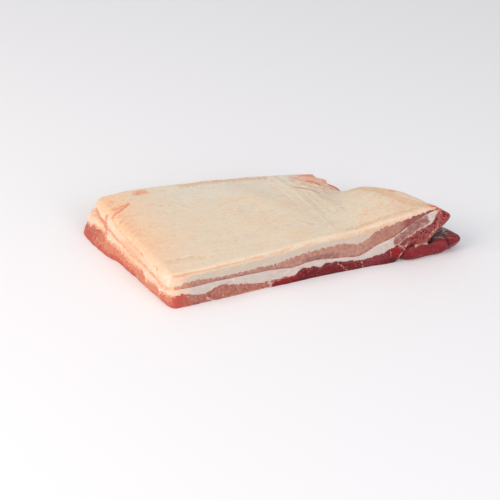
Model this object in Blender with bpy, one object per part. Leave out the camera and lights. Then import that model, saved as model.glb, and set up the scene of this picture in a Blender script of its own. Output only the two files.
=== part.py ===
"""Raw pork belly slab, rind side up.

From the rind down it is a fat cap, a thin upper lean, a fat seam and a thick lower lean, and
each layer runs through the whole slab. The right end is cut on the slant. It has sunk onto a
flap of lean that hangs out from under it, so the slab rises there and its lean curls up in a
nose.

Lengths in this file are millimetres, and mesh_object turns them to metres. X runs along the
slab from its square left end, Y from the front cut to the back, and Z is up. A place along
the slab is u, 0 at the left end and 1 at the right. A place across it is v, 0 at the front
cut and 1 at the back.
"""

import bmesh
import bpy
import numpy as np

MM = 0.001
GAP = 0.3
LEAST_LAYER = 1.6
BOX_MIDDLE = (0.22, 6.92)

# Plan of the rind: the corners, and how far each long edge wanders (x, y).
FRONT_ENDS = (-159.0, 154.0)
BACK_ENDS = (-176.0, 78.0)
FRONT_EDGE = ((-159, -79.5), (-43, -78), (47, -78), (107, -81), (154, -83))
BACK_EDGE = ((-176, 97), (-109, 100), (-52, 91), (24, 77), (78, 62))
LENGTH = 300.0
WIDTH = 165.0
RIGHT_BOW = ((0, 0), (0.15, 7.0), (0.35, 4.0), (0.6, 1.0), (1, 0))
BOW_REACH = 70.0
CORNER_RADII = {"front_left": 8.0, "front_right": 6.0, "back_left": 20.0, "back_right": 5.0}

# Height of the rind along the front cut and along the back edge (x, z).
RIND_FRONT = (
    (-159, 39.0),
    (-117, 39.8),
    (-54, 41.3),
    (8, 45.4),
    (70, 46.8),
    (109, 53.0),
    (147, 59.0),
    (154, 59.3),
)
RIND_BACK = ((-176, 34.8), (-155, 36.0), (-105, 35.4), (-43, 36.8), (24, 37.5), (78, 37.5))

# Heights of the three inner faces along the front cut (x, z), as the cut shows them.
LOWER_LEAN_FRONT = (
    (-159, 14.6),
    (-149, 15.6),
    (-120, 10.4),
    (-104, 15.2),
    (-80, 12.1),
    (-40, 7.4),
    (-8, 12.2),
    (27, 13.8),
    (70, 10.2),
    (98, 15.8),
    (111, 21.9),
    (127, 33.6),
    (137, 37.5),
    (147, 51.0),
    (154, 53.0),
)
SEAM_FRONT = (
    (-159, 21.2),
    (-129, 20.4),
    (-106, 21.4),
    (-42, 19.7),
    (-22, 18.8),
    (15, 22.3),
    (39, 18.2),
    (68, 16.4),
    (82, 23.5),
    (108, 33.1),
    (121, 42.4),
    (145, 53.4),
    (154, 55.0),
)
UPPER_LEAN_FRONT = (
    (-159, 24.2),
    (-143, 26.6),
    (-100, 25.6),
    (-42, 26.0),
    (14, 32.6),
    (45, 32.8),
    (65, 30.2),
    (85, 41.0),
    (109, 47.0),
    (145, 55.3),
    (154, 56.8),
)

# The same faces at the left end, the right end and the back, as shares of the height there.
LOWER_LEAN_LEFT = ((0, 0.36), (0.08, 0.30), (0.3, 0.40), (0.6, 0.45), (0.8, 0.44), (1, 0.44))
SEAM_LEFT = ((0, 0.53), (0.1, 0.50), (0.45, 0.58), (0.7, 0.60), (0.87, 0.68), (1, 0.62))
UPPER_LEAN_LEFT = ((0, 0.61), (0.1, 0.56), (0.45, 0.63), (0.7, 0.65), (0.87, 0.74), (1, 0.68))
LOWER_LEAN_RIGHT = ((0, 0.86), (0.12, 0.62), (0.3, 0.42), (0.7, 0.38), (1, 0.40))
SEAM_RIGHT = ((0, 0.90), (0.12, 0.72), (0.3, 0.56), (0.7, 0.52), (0.88, 0.60), (1, 0.56))
UPPER_LEAN_RIGHT = ((0, 0.94), (0.12, 0.84), (0.3, 0.68), (0.7, 0.70), (0.88, 0.84), (1, 0.80))
LOWER_LEAN_BACK = ((0, 0.44), (0.3, 0.36), (0.6, 0.46), (1, 0.40))
SEAM_BACK = ((0, 0.60), (0.3, 0.52), (0.6, 0.58), (1, 0.56))
UPPER_LEAN_BACK = ((0, 0.65), (0.3, 0.66), (0.6, 0.70), (1, 0.80))

FACES = (
    (LOWER_LEAN_FRONT, LOWER_LEAN_LEFT, LOWER_LEAN_RIGHT, LOWER_LEAN_BACK),
    (SEAM_FRONT, SEAM_LEFT, SEAM_RIGHT, SEAM_BACK),
    (UPPER_LEAN_FRONT, UPPER_LEAN_LEFT, UPPER_LEAN_RIGHT, UPPER_LEAN_BACK),
)

# How far the foot of each cut stands out past the rind's edge, and how far in that reaches.
LEFT_LEAN = ((0, -2.0), (0.2, 1.5), (0.5, 7.5), (0.75, 17.5), (1, 18.0))
FRONT_LEAN = 5.0
BACK_LEAN = 4.0
LEAN_REACH = 40.0

# The nose of lean at the right end: its reach across the slab, and its shape up the cut.
NOSE_REACH = ((0, 22.5), (0.15, 13.0), (0.4, 6.0), (1, 5.0))
NOSE_SHAPE = ((0, -0.3), (0.15, 0), (0.3, 0.35), (0.45, 0.75), (0.62, 1.0), (0.8, 0.6), (0.92, 0.22), (1, 0))

# Radius of the rind's roll over each edge, and the share of it that the edge drops.
ROLL_LEFT = 7.0
ROLL_FRONT = 3.0
ROLL_RIGHT = 8.0
ROLL_BACK = 5.0
ROLL_DEPTH = 0.9

# The rise over the flap and the dip behind it: middle, height, and size along and across.
CUT_ALONG = np.array((-0.52, 0.854))
CUT_ACROSS = np.array((0.854, 0.52))
RISE = ((136.0, -27.0), 8.0, 40.0, 60.0)
DIP = ((101.0, 30.0), -13.0, 21.0, 48.0)
RIDGE = ((-12.0, 34.0), 1.4, 60.0, 14.0)

# The underside lifts where the flap lies below it.
LIFT = 19.0
LIFT_START = 104.0
LIFT_RUN = 20.0
LIFT_CLEARANCE = 2.2
LIFT_SPREAD = 0.35
LIFT_FRONT = -84.0
LIFT_BACK = (-22.0, 44.0)

# The flap of lean: its outline, the thickness of its front and of its thin back edge.
FLAP_OUTLINE = (
    (117, -88),
    (150, -90),
    (180, -91),
    (191, -84),
    (187, -62),
    (178, -36),
    (160, -14),
    (134, -4),
    (122, -24),
    (114, -56),
)
FLAP_MIDDLE = (152.0, -50.0)
FLAP_FRONT_THICKNESS = 19.5
FLAP_BACK_THICKNESS = 11.0
FLAP_TIP_DROP = 2.0
FLAP_TIP = (160.0, 20.0)
FLAP_DEPTH = 86.0
LEAST_FLAP = 1.0
FLAP_EDGE_DROP = 0.9
FLAP_EDGE_POWER = 18
FLAP_SPOKES = 48
FLAP_TOP_RINGS = (0.0, 0.3, 0.55, 0.75, 0.87, 0.94, 0.985)
FLAP_FOOT_RING = 0.91
FLAP_WIDEST = 0.55

# How far the foot draws in under the flap's tip, and how much higher its widest ring lies there.
TIP_UNDERCUT = 0.09
TIP_OVERHANG = 0.2

# Spacing of the grid: fine by the edges, and even between them.
FINE_STEPS = (0.0, 1.5, 4.0, 8.0, 14.0)
COLUMNS = 28
CLOSING = 0.5
ROWS = 12

BULGES = {"fat_cap": 1.0, "upper_lean": 0.4, "fat_seam": 0.9, "lower_lean": 1.4}


def curve(points, at):
    """Smooth curve through the points, level beyond its ends."""
    xs, ys = np.array(points, float).T
    slopes = np.gradient(ys, xs)
    at = np.clip(at, xs[0], xs[-1])
    i = np.clip(np.searchsorted(xs, at, side="right") - 1, 0, len(xs) - 2)
    width = xs[i + 1] - xs[i]
    t = (at - xs[i]) / width
    rise = t * t * (3 - 2 * t)
    leaving = t * (1 - t) ** 2 * width * slopes[i]
    arriving = t * t * (t - 1) * width * slopes[i + 1]
    return (1 - rise) * ys[i] + rise * ys[i + 1] + leaving + arriving


def ease(t):
    """From 0 to 1 with level ends."""
    t = np.clip(t, 0, 1)
    return t * t * (3 - 2 * t)


def nearness(distance, reach):
    """1 at an edge, falling to 0 at the reach."""
    return np.clip(1 - distance / reach, 0, 1) ** 2


def round_corners(u, v):
    """Pulls the square grid's four corners in to arcs."""
    along, across = u * LENGTH, v * WIDTH
    for name, radius in CORNER_RADII.items():
        end = LENGTH if "right" in name else 0.0
        side = WIDTH if "back" in name else 0.0
        p = np.clip(1 - np.abs(along - end) / radius, 0, 1)
        q = np.clip(1 - np.abs(across - side) / radius, 0, 1)
        inside = (p > 0) & (q > 0)
        inward = np.sign(LENGTH / 2 - end) * radius * (1 - p * np.sqrt(1 - q * q / 2))
        backward = np.sign(WIDTH / 2 - side) * radius * (1 - q * np.sqrt(1 - p * p / 2))
        along = np.where(inside, end + inward, along)
        across = np.where(inside, side + backward, across)
    return along / LENGTH, across / WIDTH


def plan(u, v):
    """Where a place on the rind lies, seen from above."""
    front = FRONT_ENDS[0] + u * (FRONT_ENDS[1] - FRONT_ENDS[0])
    back = BACK_ENDS[0] + u * (BACK_ENDS[1] - BACK_ENDS[0])
    bow = nearness((1 - u) * LENGTH, BOW_REACH) * curve(RIGHT_BOW, v)
    x = (1 - v) * front + v * back + bow
    y = (1 - v) * curve(FRONT_EDGE, front) + v * curve(BACK_EDGE, back)
    return x, y


def cut_plan(u, v, share):
    """Where a place lies at a share of the slab's height, with the lean of the cuts."""
    x, y = plan(u, v)
    x = x - nearness(u * LENGTH, LEAN_REACH) * curve(LEFT_LEAN, v) * (1 - share)
    y = y - nearness(v * WIDTH, LEAN_REACH) * FRONT_LEAN * (1 - share)
    y = y + nearness((1 - v) * WIDTH, LEAN_REACH) * BACK_LEAN * (1 - share)
    nose = curve(NOSE_REACH, v) * curve(NOSE_SHAPE, share)
    return x + nearness((1 - u) * LENGTH, LEAN_REACH) * nose, y


def swelling(x, y, form):
    """A soft rise or dip that is longer along or across the slanted cut."""
    (middle_x, middle_y), height, along_size, across_size = form
    dx, dy = x - middle_x, y - middle_y
    along = (dx * CUT_ALONG[0] + dy * CUT_ALONG[1]) / along_size
    across = (dx * CUT_ACROSS[0] + dy * CUT_ACROSS[1]) / across_size
    return height * np.exp(-along * along - across * across)


def lift(x, y):
    """Height of the slab's underside, which the flap holds up at the right end."""
    behind = np.maximum(y - LIFT_FRONT, 0)
    start = LIFT_START - LIFT_SPREAD * behind
    rising = ease((x - start) / (LIFT_RUN + LIFT_SPREAD * behind))
    return LIFT * rising * (1 - ease((y - LIFT_BACK[0]) / LIFT_BACK[1]))


def roll(u, v):
    """How far the rind has rolled down towards each edge."""
    down = 0.0
    edges = (
        (u * LENGTH, ROLL_LEFT),
        ((1 - u) * LENGTH, ROLL_RIGHT),
        (v * WIDTH, ROLL_FRONT),
        ((1 - v) * WIDTH, ROLL_BACK),
    )
    for distance, radius in edges:
        near = ROLL_DEPTH * np.clip(1 - distance / radius, 0, 1)
        down = np.maximum(down, radius * (1 - np.sqrt(1 - near * near)))
    return down


def rind_height(u, v):
    """Height of the rind before it rolls over an edge."""
    front = FRONT_ENDS[0] + u * (FRONT_ENDS[1] - FRONT_ENDS[0])
    back = BACK_ENDS[0] + u * (BACK_ENDS[1] - BACK_ENDS[0])
    x, y = plan(u, v)
    height = (1 - v) * curve(RIND_FRONT, front) + v * curve(RIND_BACK, back)
    return height + swelling(x, y, RISE) + swelling(x, y, DIP) + swelling(x, y, RIDGE)


def face_share(face, u, v):
    """How high an inner face lies between the underside and the rind, from 0 to 1."""
    front_heights, left, right, back = face
    front = FRONT_ENDS[0] + u * (FRONT_ENDS[1] - FRONT_ENDS[0])
    foot = lift(front, curve(FRONT_EDGE, front) - FRONT_LEAN)
    front_share = (curve(front_heights, front) - foot) / (curve(RIND_FRONT, front) - foot)
    share = (1 - v) * front_share + v * curve(back, u)
    share = share + nearness(u * LENGTH, 50) * (curve(left, v) - share)
    return share + nearness((1 - u) * LENGTH, 40) * ease(v * 6) * (curve(right, v) - share)


def levels(u, v):
    """Heights of the underside, the three inner faces and the rind at each place."""
    foot = lift(*cut_plan(u, v, 0.0))
    top = rind_height(u, v)
    heights = [foot] + [foot + face_share(face, u, v) * (top - foot) for face in FACES]
    heights.append(top - roll(u, v))
    for i in range(1, 5):
        heights[i] = np.maximum(heights[i], heights[i - 1] + LEAST_LAYER)
    for i in range(3, 0, -1):
        heights[i] = np.minimum(heights[i], heights[i + 1] - LEAST_LAYER)
    return heights


def place(u, v, z, heights):
    """Puts a height at a place on the slab."""
    share = np.clip((z - heights[0]) / (heights[4] - heights[0]), 0, 1)
    return np.stack([*cut_plan(u, v, share), z], axis=-1)


def grid_steps(length, count, closing):
    """Places from 0 to 1: fine near both ends, and closing up towards 1 between them."""
    fine = np.array(FINE_STEPS) / length
    t = np.linspace(0, 1, count)[1:-1]
    between = fine[-1] + (1 - 2 * fine[-1]) * (t + closing * t * (1 - t))
    return np.concatenate([fine, between, 1 - fine[::-1]])


def border(rows, columns):
    """The grid's edge, once round, as (row, column), seen from above anticlockwise."""
    front = [(0, c) for c in range(columns - 1)]
    right = [(r, columns - 1) for r in range(rows - 1)]
    back = [(rows - 1, c) for c in range(columns - 1, 0, -1)]
    left = [(r, 0) for r in range(rows - 1, 0, -1)]
    return front + right + back + left


def layer_points(index, bulge):
    """Bottom grid, top grid and the ring between them of one layer."""
    along = grid_steps(LENGTH, COLUMNS, CLOSING)
    u, v = np.meshgrid(along, grid_steps(WIDTH, ROWS, 0.0))
    u, v = round_corners(u, v)
    heights = levels(u, v)
    low, high = heights[index], heights[index + 1]
    bottom, top = place(u, v, low, heights), place(u, v, high, heights)
    if index > 0:
        bottom[..., 2] += GAP
    rim = border(*u.shape)
    middle = place(u, v, (low + high) / 2, heights)
    ring = np.array([middle[at] for at in rim])
    outward = np.roll(ring, -1, axis=0) - np.roll(ring, 1, axis=0)
    outward = np.stack([outward[:, 1], -outward[:, 0]], axis=-1)
    outward /= np.linalg.norm(outward, axis=1)[:, None]
    ring[:, :2] += outward * bulge
    return bottom, top, ring, rim


def mesh_object(name, points, faces):
    """One closed mesh from points in millimetres."""
    mesh = bpy.data.meshes.new(name)
    shifted = np.array(points) - np.array([*BOX_MIDDLE, 0.0])
    mesh.from_pydata((shifted * MM).tolist(), [], faces)
    body = bmesh.new()
    body.from_mesh(mesh)
    bmesh.ops.recalc_face_normals(body, faces=body.faces)
    if body.calc_volume(signed=True) < 0:
        bmesh.ops.reverse_faces(body, faces=body.faces)
    bmesh.ops.triangulate(body, faces=body.faces)
    body.to_mesh(mesh)
    body.free()
    mesh.shade_smooth()
    item = bpy.data.objects.new(name, mesh)
    bpy.context.scene.collection.objects.link(item)
    return item


def layer(index, name):
    """One layer of the slab, from its lower face to its upper one."""
    bottom, top, ring, rim = layer_points(index, BULGES[name])
    rows, columns = bottom.shape[:2]
    count = rows * columns
    points = np.concatenate([bottom.reshape(-1, 3), top.reshape(-1, 3), ring])
    faces = []
    for r in range(rows - 1):
        for c in range(columns - 1):
            a = r * columns + c
            b = a + columns
            for corners in ((a, b, b + 1), (a, b + 1, a + 1)):
                faces.append(corners)
                faces.append(tuple(count + corner for corner in reversed(corners)))
    for i, (row, column) in enumerate(rim):
        j = (i + 1) % len(rim)
        here, there = row * columns + column, rim[j][0] * columns + rim[j][1]
        mid_here, mid_there = 2 * count + i, 2 * count + j
        faces.append((here, there, mid_there, mid_here))
        faces.append((mid_here, mid_there, count + there, count + here))
    return mesh_object(name, points, faces)


def closed_curve(points, count):
    """Smooth closed outline through the points, as that many places."""
    corners = np.array(points, float)
    wrapped = np.concatenate([corners[-3:], corners, corners[:3]])
    at = np.arange(len(wrapped)) - 3.0
    where = np.linspace(0, len(corners), count, endpoint=False)
    x = curve(np.stack([at, wrapped[:, 0]], axis=-1), where)
    y = curve(np.stack([at, wrapped[:, 1]], axis=-1), where)
    return np.stack([x, y], axis=-1)


def tip_share(x):
    """0 on the flap's body and 1 at its tip."""
    return ease((x - FLAP_TIP[0]) / FLAP_TIP[1])


def flap_height(x, y, ring):
    """Height of the flap's upper face, under the slab where the slab lies on it."""
    back = np.clip((y - FLAP_OUTLINE[2][1]) / FLAP_DEPTH, 0, 1)
    thickness = FLAP_FRONT_THICKNESS + back * (FLAP_BACK_THICKNESS - FLAP_FRONT_THICKNESS)
    rounded = thickness * np.sqrt(1 - FLAP_EDGE_DROP * ring**FLAP_EDGE_POWER)
    under = lift(x, y)
    lifted = under / LIFT
    clearance = GAP + 4 * LIFT_CLEARANCE * lifted * (1 - lifted)
    covered = np.maximum(np.minimum(rounded, under - clearance), LEAST_FLAP)
    drop = FLAP_TIP_DROP * tip_share(x) * rounded / thickness
    return np.maximum(covered - drop, LEAST_FLAP)


def lean_flap():
    """The flap of lean that hangs out from under the right end."""
    outline = closed_curve(FLAP_OUTLINE, FLAP_SPOKES)
    middle = np.array(FLAP_MIDDLE)
    points = [(*middle, flap_height(*middle, 0.0))]
    for ring in FLAP_TOP_RINGS[1:]:
        for x, y in middle + ring * (outline - middle):
            points.append((x, y, flap_height(x, y, ring)))
    for x, y in outline:
        widest = FLAP_WIDEST + TIP_OVERHANG * tip_share(x)
        points.append((x, y, widest * flap_height(x, y, FLAP_TOP_RINGS[-2])))
    for spot in outline:
        reach = FLAP_FOOT_RING - TIP_UNDERCUT * tip_share(spot[0])
        points.append((*(middle + reach * (spot - middle)), 0.0))
    points.append((*middle, 0.0))
    faces = []
    rings = len(FLAP_TOP_RINGS) + 1
    for i in range(FLAP_SPOKES):
        j = (i + 1) % FLAP_SPOKES
        faces.append((0, 1 + i, 1 + j))
        for k in range(rings - 1):
            inner, outer = 1 + k * FLAP_SPOKES, 1 + (k + 1) * FLAP_SPOKES
            faces.append((inner + i, outer + i, outer + j, inner + j))
        foot = 1 + (rings - 1) * FLAP_SPOKES
        faces.append((foot + j, foot + i, len(points) - 1))
    return mesh_object("lean_flap", points, faces)


def colour(item, name, rgb, roughness):
    """Gives an object its own material."""
    material = bpy.data.materials.new(name)
    material.use_nodes = True
    shader = material.node_tree.nodes["Principled BSDF"]
    shader.inputs["Base Color"].default_value = (*rgb, 1.0)
    shader.inputs["Roughness"].default_value = roughness
    shader.inputs["Metallic"].default_value = 0.0
    item.data.materials.append(material)


def clear_scene():
    """Removes what the scene starts with."""
    for item in list(bpy.data.objects):
        bpy.data.objects.remove(item, do_unlink=True)


def main():
    """Builds the slab's five solids."""
    clear_scene()
    colour(layer(0, "lower_lean"), "lower_lean", (0.36, 0.07, 0.06), 0.42)
    colour(layer(1, "fat_seam"), "fat_seam", (0.78, 0.62, 0.54), 0.45)
    colour(layer(2, "upper_lean"), "upper_lean", (0.46, 0.17, 0.13), 0.42)
    colour(layer(3, "fat_cap"), "fat_cap", (0.80, 0.62, 0.42), 0.50)
    colour(lean_flap(), "lean_flap", (0.30, 0.05, 0.05), 0.38)


if __name__ == "__main__":
    main()
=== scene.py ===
"""Raw pork belly slab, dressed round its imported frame.

Each layer of the slab and the flap of lean under its right end is one dense piece that keeps
the form of its CAD node. Lengths are millimetres in the frame's own axes until a mesh is
written, where they turn to metres. A place along the slab is u, 0 at the left end and 1 at
the right. A place across it is v, 0 at the front cut and 1 at the back.
"""

import logging
import math
from dataclasses import dataclass, field
from enum import Enum

import bmesh
import bpy
import numpy as np
from mathutils import Matrix, Vector


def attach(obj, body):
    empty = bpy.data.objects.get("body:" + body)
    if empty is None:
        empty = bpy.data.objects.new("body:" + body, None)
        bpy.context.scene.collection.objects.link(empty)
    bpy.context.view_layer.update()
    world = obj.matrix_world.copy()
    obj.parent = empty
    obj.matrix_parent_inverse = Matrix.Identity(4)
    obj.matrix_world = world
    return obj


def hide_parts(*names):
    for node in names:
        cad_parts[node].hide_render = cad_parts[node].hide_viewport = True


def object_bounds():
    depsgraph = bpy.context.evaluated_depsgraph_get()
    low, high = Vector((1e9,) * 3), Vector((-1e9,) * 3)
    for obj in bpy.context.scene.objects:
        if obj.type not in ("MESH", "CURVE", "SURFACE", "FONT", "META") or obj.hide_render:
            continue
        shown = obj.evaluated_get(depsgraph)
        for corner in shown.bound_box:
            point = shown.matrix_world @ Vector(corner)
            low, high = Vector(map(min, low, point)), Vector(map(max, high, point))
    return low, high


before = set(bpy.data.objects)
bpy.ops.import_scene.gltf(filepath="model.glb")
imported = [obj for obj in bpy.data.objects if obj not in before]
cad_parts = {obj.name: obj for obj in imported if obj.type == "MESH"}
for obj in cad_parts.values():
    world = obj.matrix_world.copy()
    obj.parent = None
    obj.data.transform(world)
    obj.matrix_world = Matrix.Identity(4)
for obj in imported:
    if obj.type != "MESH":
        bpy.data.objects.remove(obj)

CAD_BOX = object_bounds()
LOG = logging.getLogger("pork_belly")
BODY = "root"
MM = 0.001
SEED = 11

Points = tuple[tuple[float, ...], ...]
Array = np.ndarray
Pair = tuple[float, float]
Triple = tuple[float, float, float]
Four = tuple[float, float, float, float]
Tree = bpy.types.NodeTree
Socket = bpy.types.NodeSocket
Item = bpy.types.Object

# Length of edge that a random row of lobes or waves covers, and where each row starts.
EDGE_RUN = 460.0
LOBES_START = -20.0
WAVES_START = -30.0
# Seeds of the random draws beside those of the layers' edges.
STRAY_SEED = SEED + 200
GATHER_SEED = SEED + 401


def curve(points: Points, at: Array) -> Array:
    """Smooth curve through the points, level beyond its ends.

    Args:
        points: Pairs of a place and the height there.
        at: The places to read.

    Returns:
        The heights at those places.
    """
    xs, ys = np.array(points, float).T
    slopes = np.gradient(ys, xs)
    at = np.clip(at, xs[0], xs[-1])
    i = np.clip(np.searchsorted(xs, at, side="right") - 1, 0, len(xs) - 2)
    width = xs[i + 1] - xs[i]
    t = (at - xs[i]) / width
    rise = t * t * (3 - 2 * t)
    leaving = t * (1 - t) ** 2 * width * slopes[i]
    arriving = t * t * (t - 1) * width * slopes[i + 1]
    return (1 - rise) * ys[i] + rise * ys[i + 1] + leaving + arriving


def ease(t: Array) -> Array:
    """From 0 to 1 with level ends."""
    t = np.clip(t, 0, 1)
    return t * t * (3 - 2 * t)


def ramp(at: Array, start: float, run: float) -> Array:
    """From 0 at the start to 1 after the run, with level ends."""
    return ease((at - start) / run)


def bell(at: Array, middle: Array | float, reach: Array | float) -> Array:
    """1 in the middle, falling off evenly on both sides."""
    return np.exp(-(((at - middle) / reach) ** 2))


def nearness(distance: Array, reach: float) -> Array:
    """1 at an edge, falling to 0 at the reach."""
    return np.clip(1 - distance / reach, 0, 1) ** 2


def lobes(at: Array, pitch: float, seed: int) -> tuple[Array, Array]:
    """A row of lobes of uneven width and height, as the ends of muscle bundles.

    Args:
        at: Places along the edge, in millimetres.
        pitch: The usual width of a lobe.
        seed: Seed of the widths and heights.

    Returns:
        How far up its lobe each place lies, 0 in a notch and 1 mid lobe, and the lobe's height.
    """
    draw = np.random.default_rng(seed)
    count = int(EDGE_RUN / pitch)
    knots = np.cumsum(draw.uniform(0.4, 1.6, count) * pitch) + LOBES_START
    tops = draw.uniform(0.35, 1.0, count)
    i = np.clip(np.searchsorted(knots, at) - 1, 0, count - 2)
    f = np.clip((at - knots[i]) / (knots[i + 1] - knots[i]), 0, 1)
    return 4 * f * (1 - f), tops[i]


def scallops(at: Array, pitch: float, seed: int) -> Array:
    """Height of a lobed edge, from 0 in a notch to about 1 on a lobe."""
    rise, top = lobes(at, pitch, seed)
    return top * rise**0.6


def notches(at: Array, pitch: float, seed: int) -> Array:
    """1 in the notches between the same lobes, 0 away from them."""
    return (1 - lobes(at, pitch, seed)[0]) ** 4


def drift(at: Array, pitch: float, seed: int) -> Array:
    """Smooth random wander between -1 and 1 with one turn about every pitch.

    Args:
        at: Places along the edge, in millimetres.
        pitch: The length of a turn.
        seed: Seed of the heights.

    Returns:
        The wander at those places.
    """
    draw = np.random.default_rng(seed)
    count = int(EDGE_RUN / pitch)
    heights = draw.uniform(-1, 1, count)
    return curve(tuple(zip(np.arange(count) * pitch + WAVES_START, heights)), at)


class Plane(Enum):
    """The two axes that a stroke is drawn on."""

    TOP = (0, 1)
    FRONT = (0, 2)
    SIDE = (1, 2)


@dataclass(frozen=True)
class Stroke:
    """A soft line over a surface, such as a crease, a streak or a vein of fat."""

    points: Points
    width: float
    strength: float = 1.0

    def over(self, places: Array) -> Array:
        """How strongly the stroke shows.

        Args:
            places: Two coordinates for each place, in millimetres.

        Returns:
            The strength at each place.
        """
        nearest = np.full(len(places), 1e9)
        corners = np.array(self.points, float)
        for start, end in zip(corners[:-1], corners[1:]):
            way = end - start
            t = np.clip((places - start) @ way / (way @ way), 0, 1)
            nearest = np.minimum(nearest, np.linalg.norm(places - start - t[:, None] * way, axis=1))
        return self.strength * np.exp(-((nearest / self.width) ** 2))


Strokes = tuple[Stroke, ...]


def strokes_over(strokes: Strokes, points: Array, plane: Plane) -> Array:
    """The strength of the stroke that shows most at each point, a groove's being negative.

    Args:
        strokes: The strokes.
        points: The points, in millimetres.
        plane: The two axes that the strokes are drawn on.

    Returns:
        The strength at each point.
    """
    places = points[:, list(plane.value)]
    total = np.zeros(len(points))
    for stroke in strokes:
        shown = stroke.over(places)
        total = np.where(np.abs(shown) > np.abs(total), shown, total)
    return total


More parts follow.
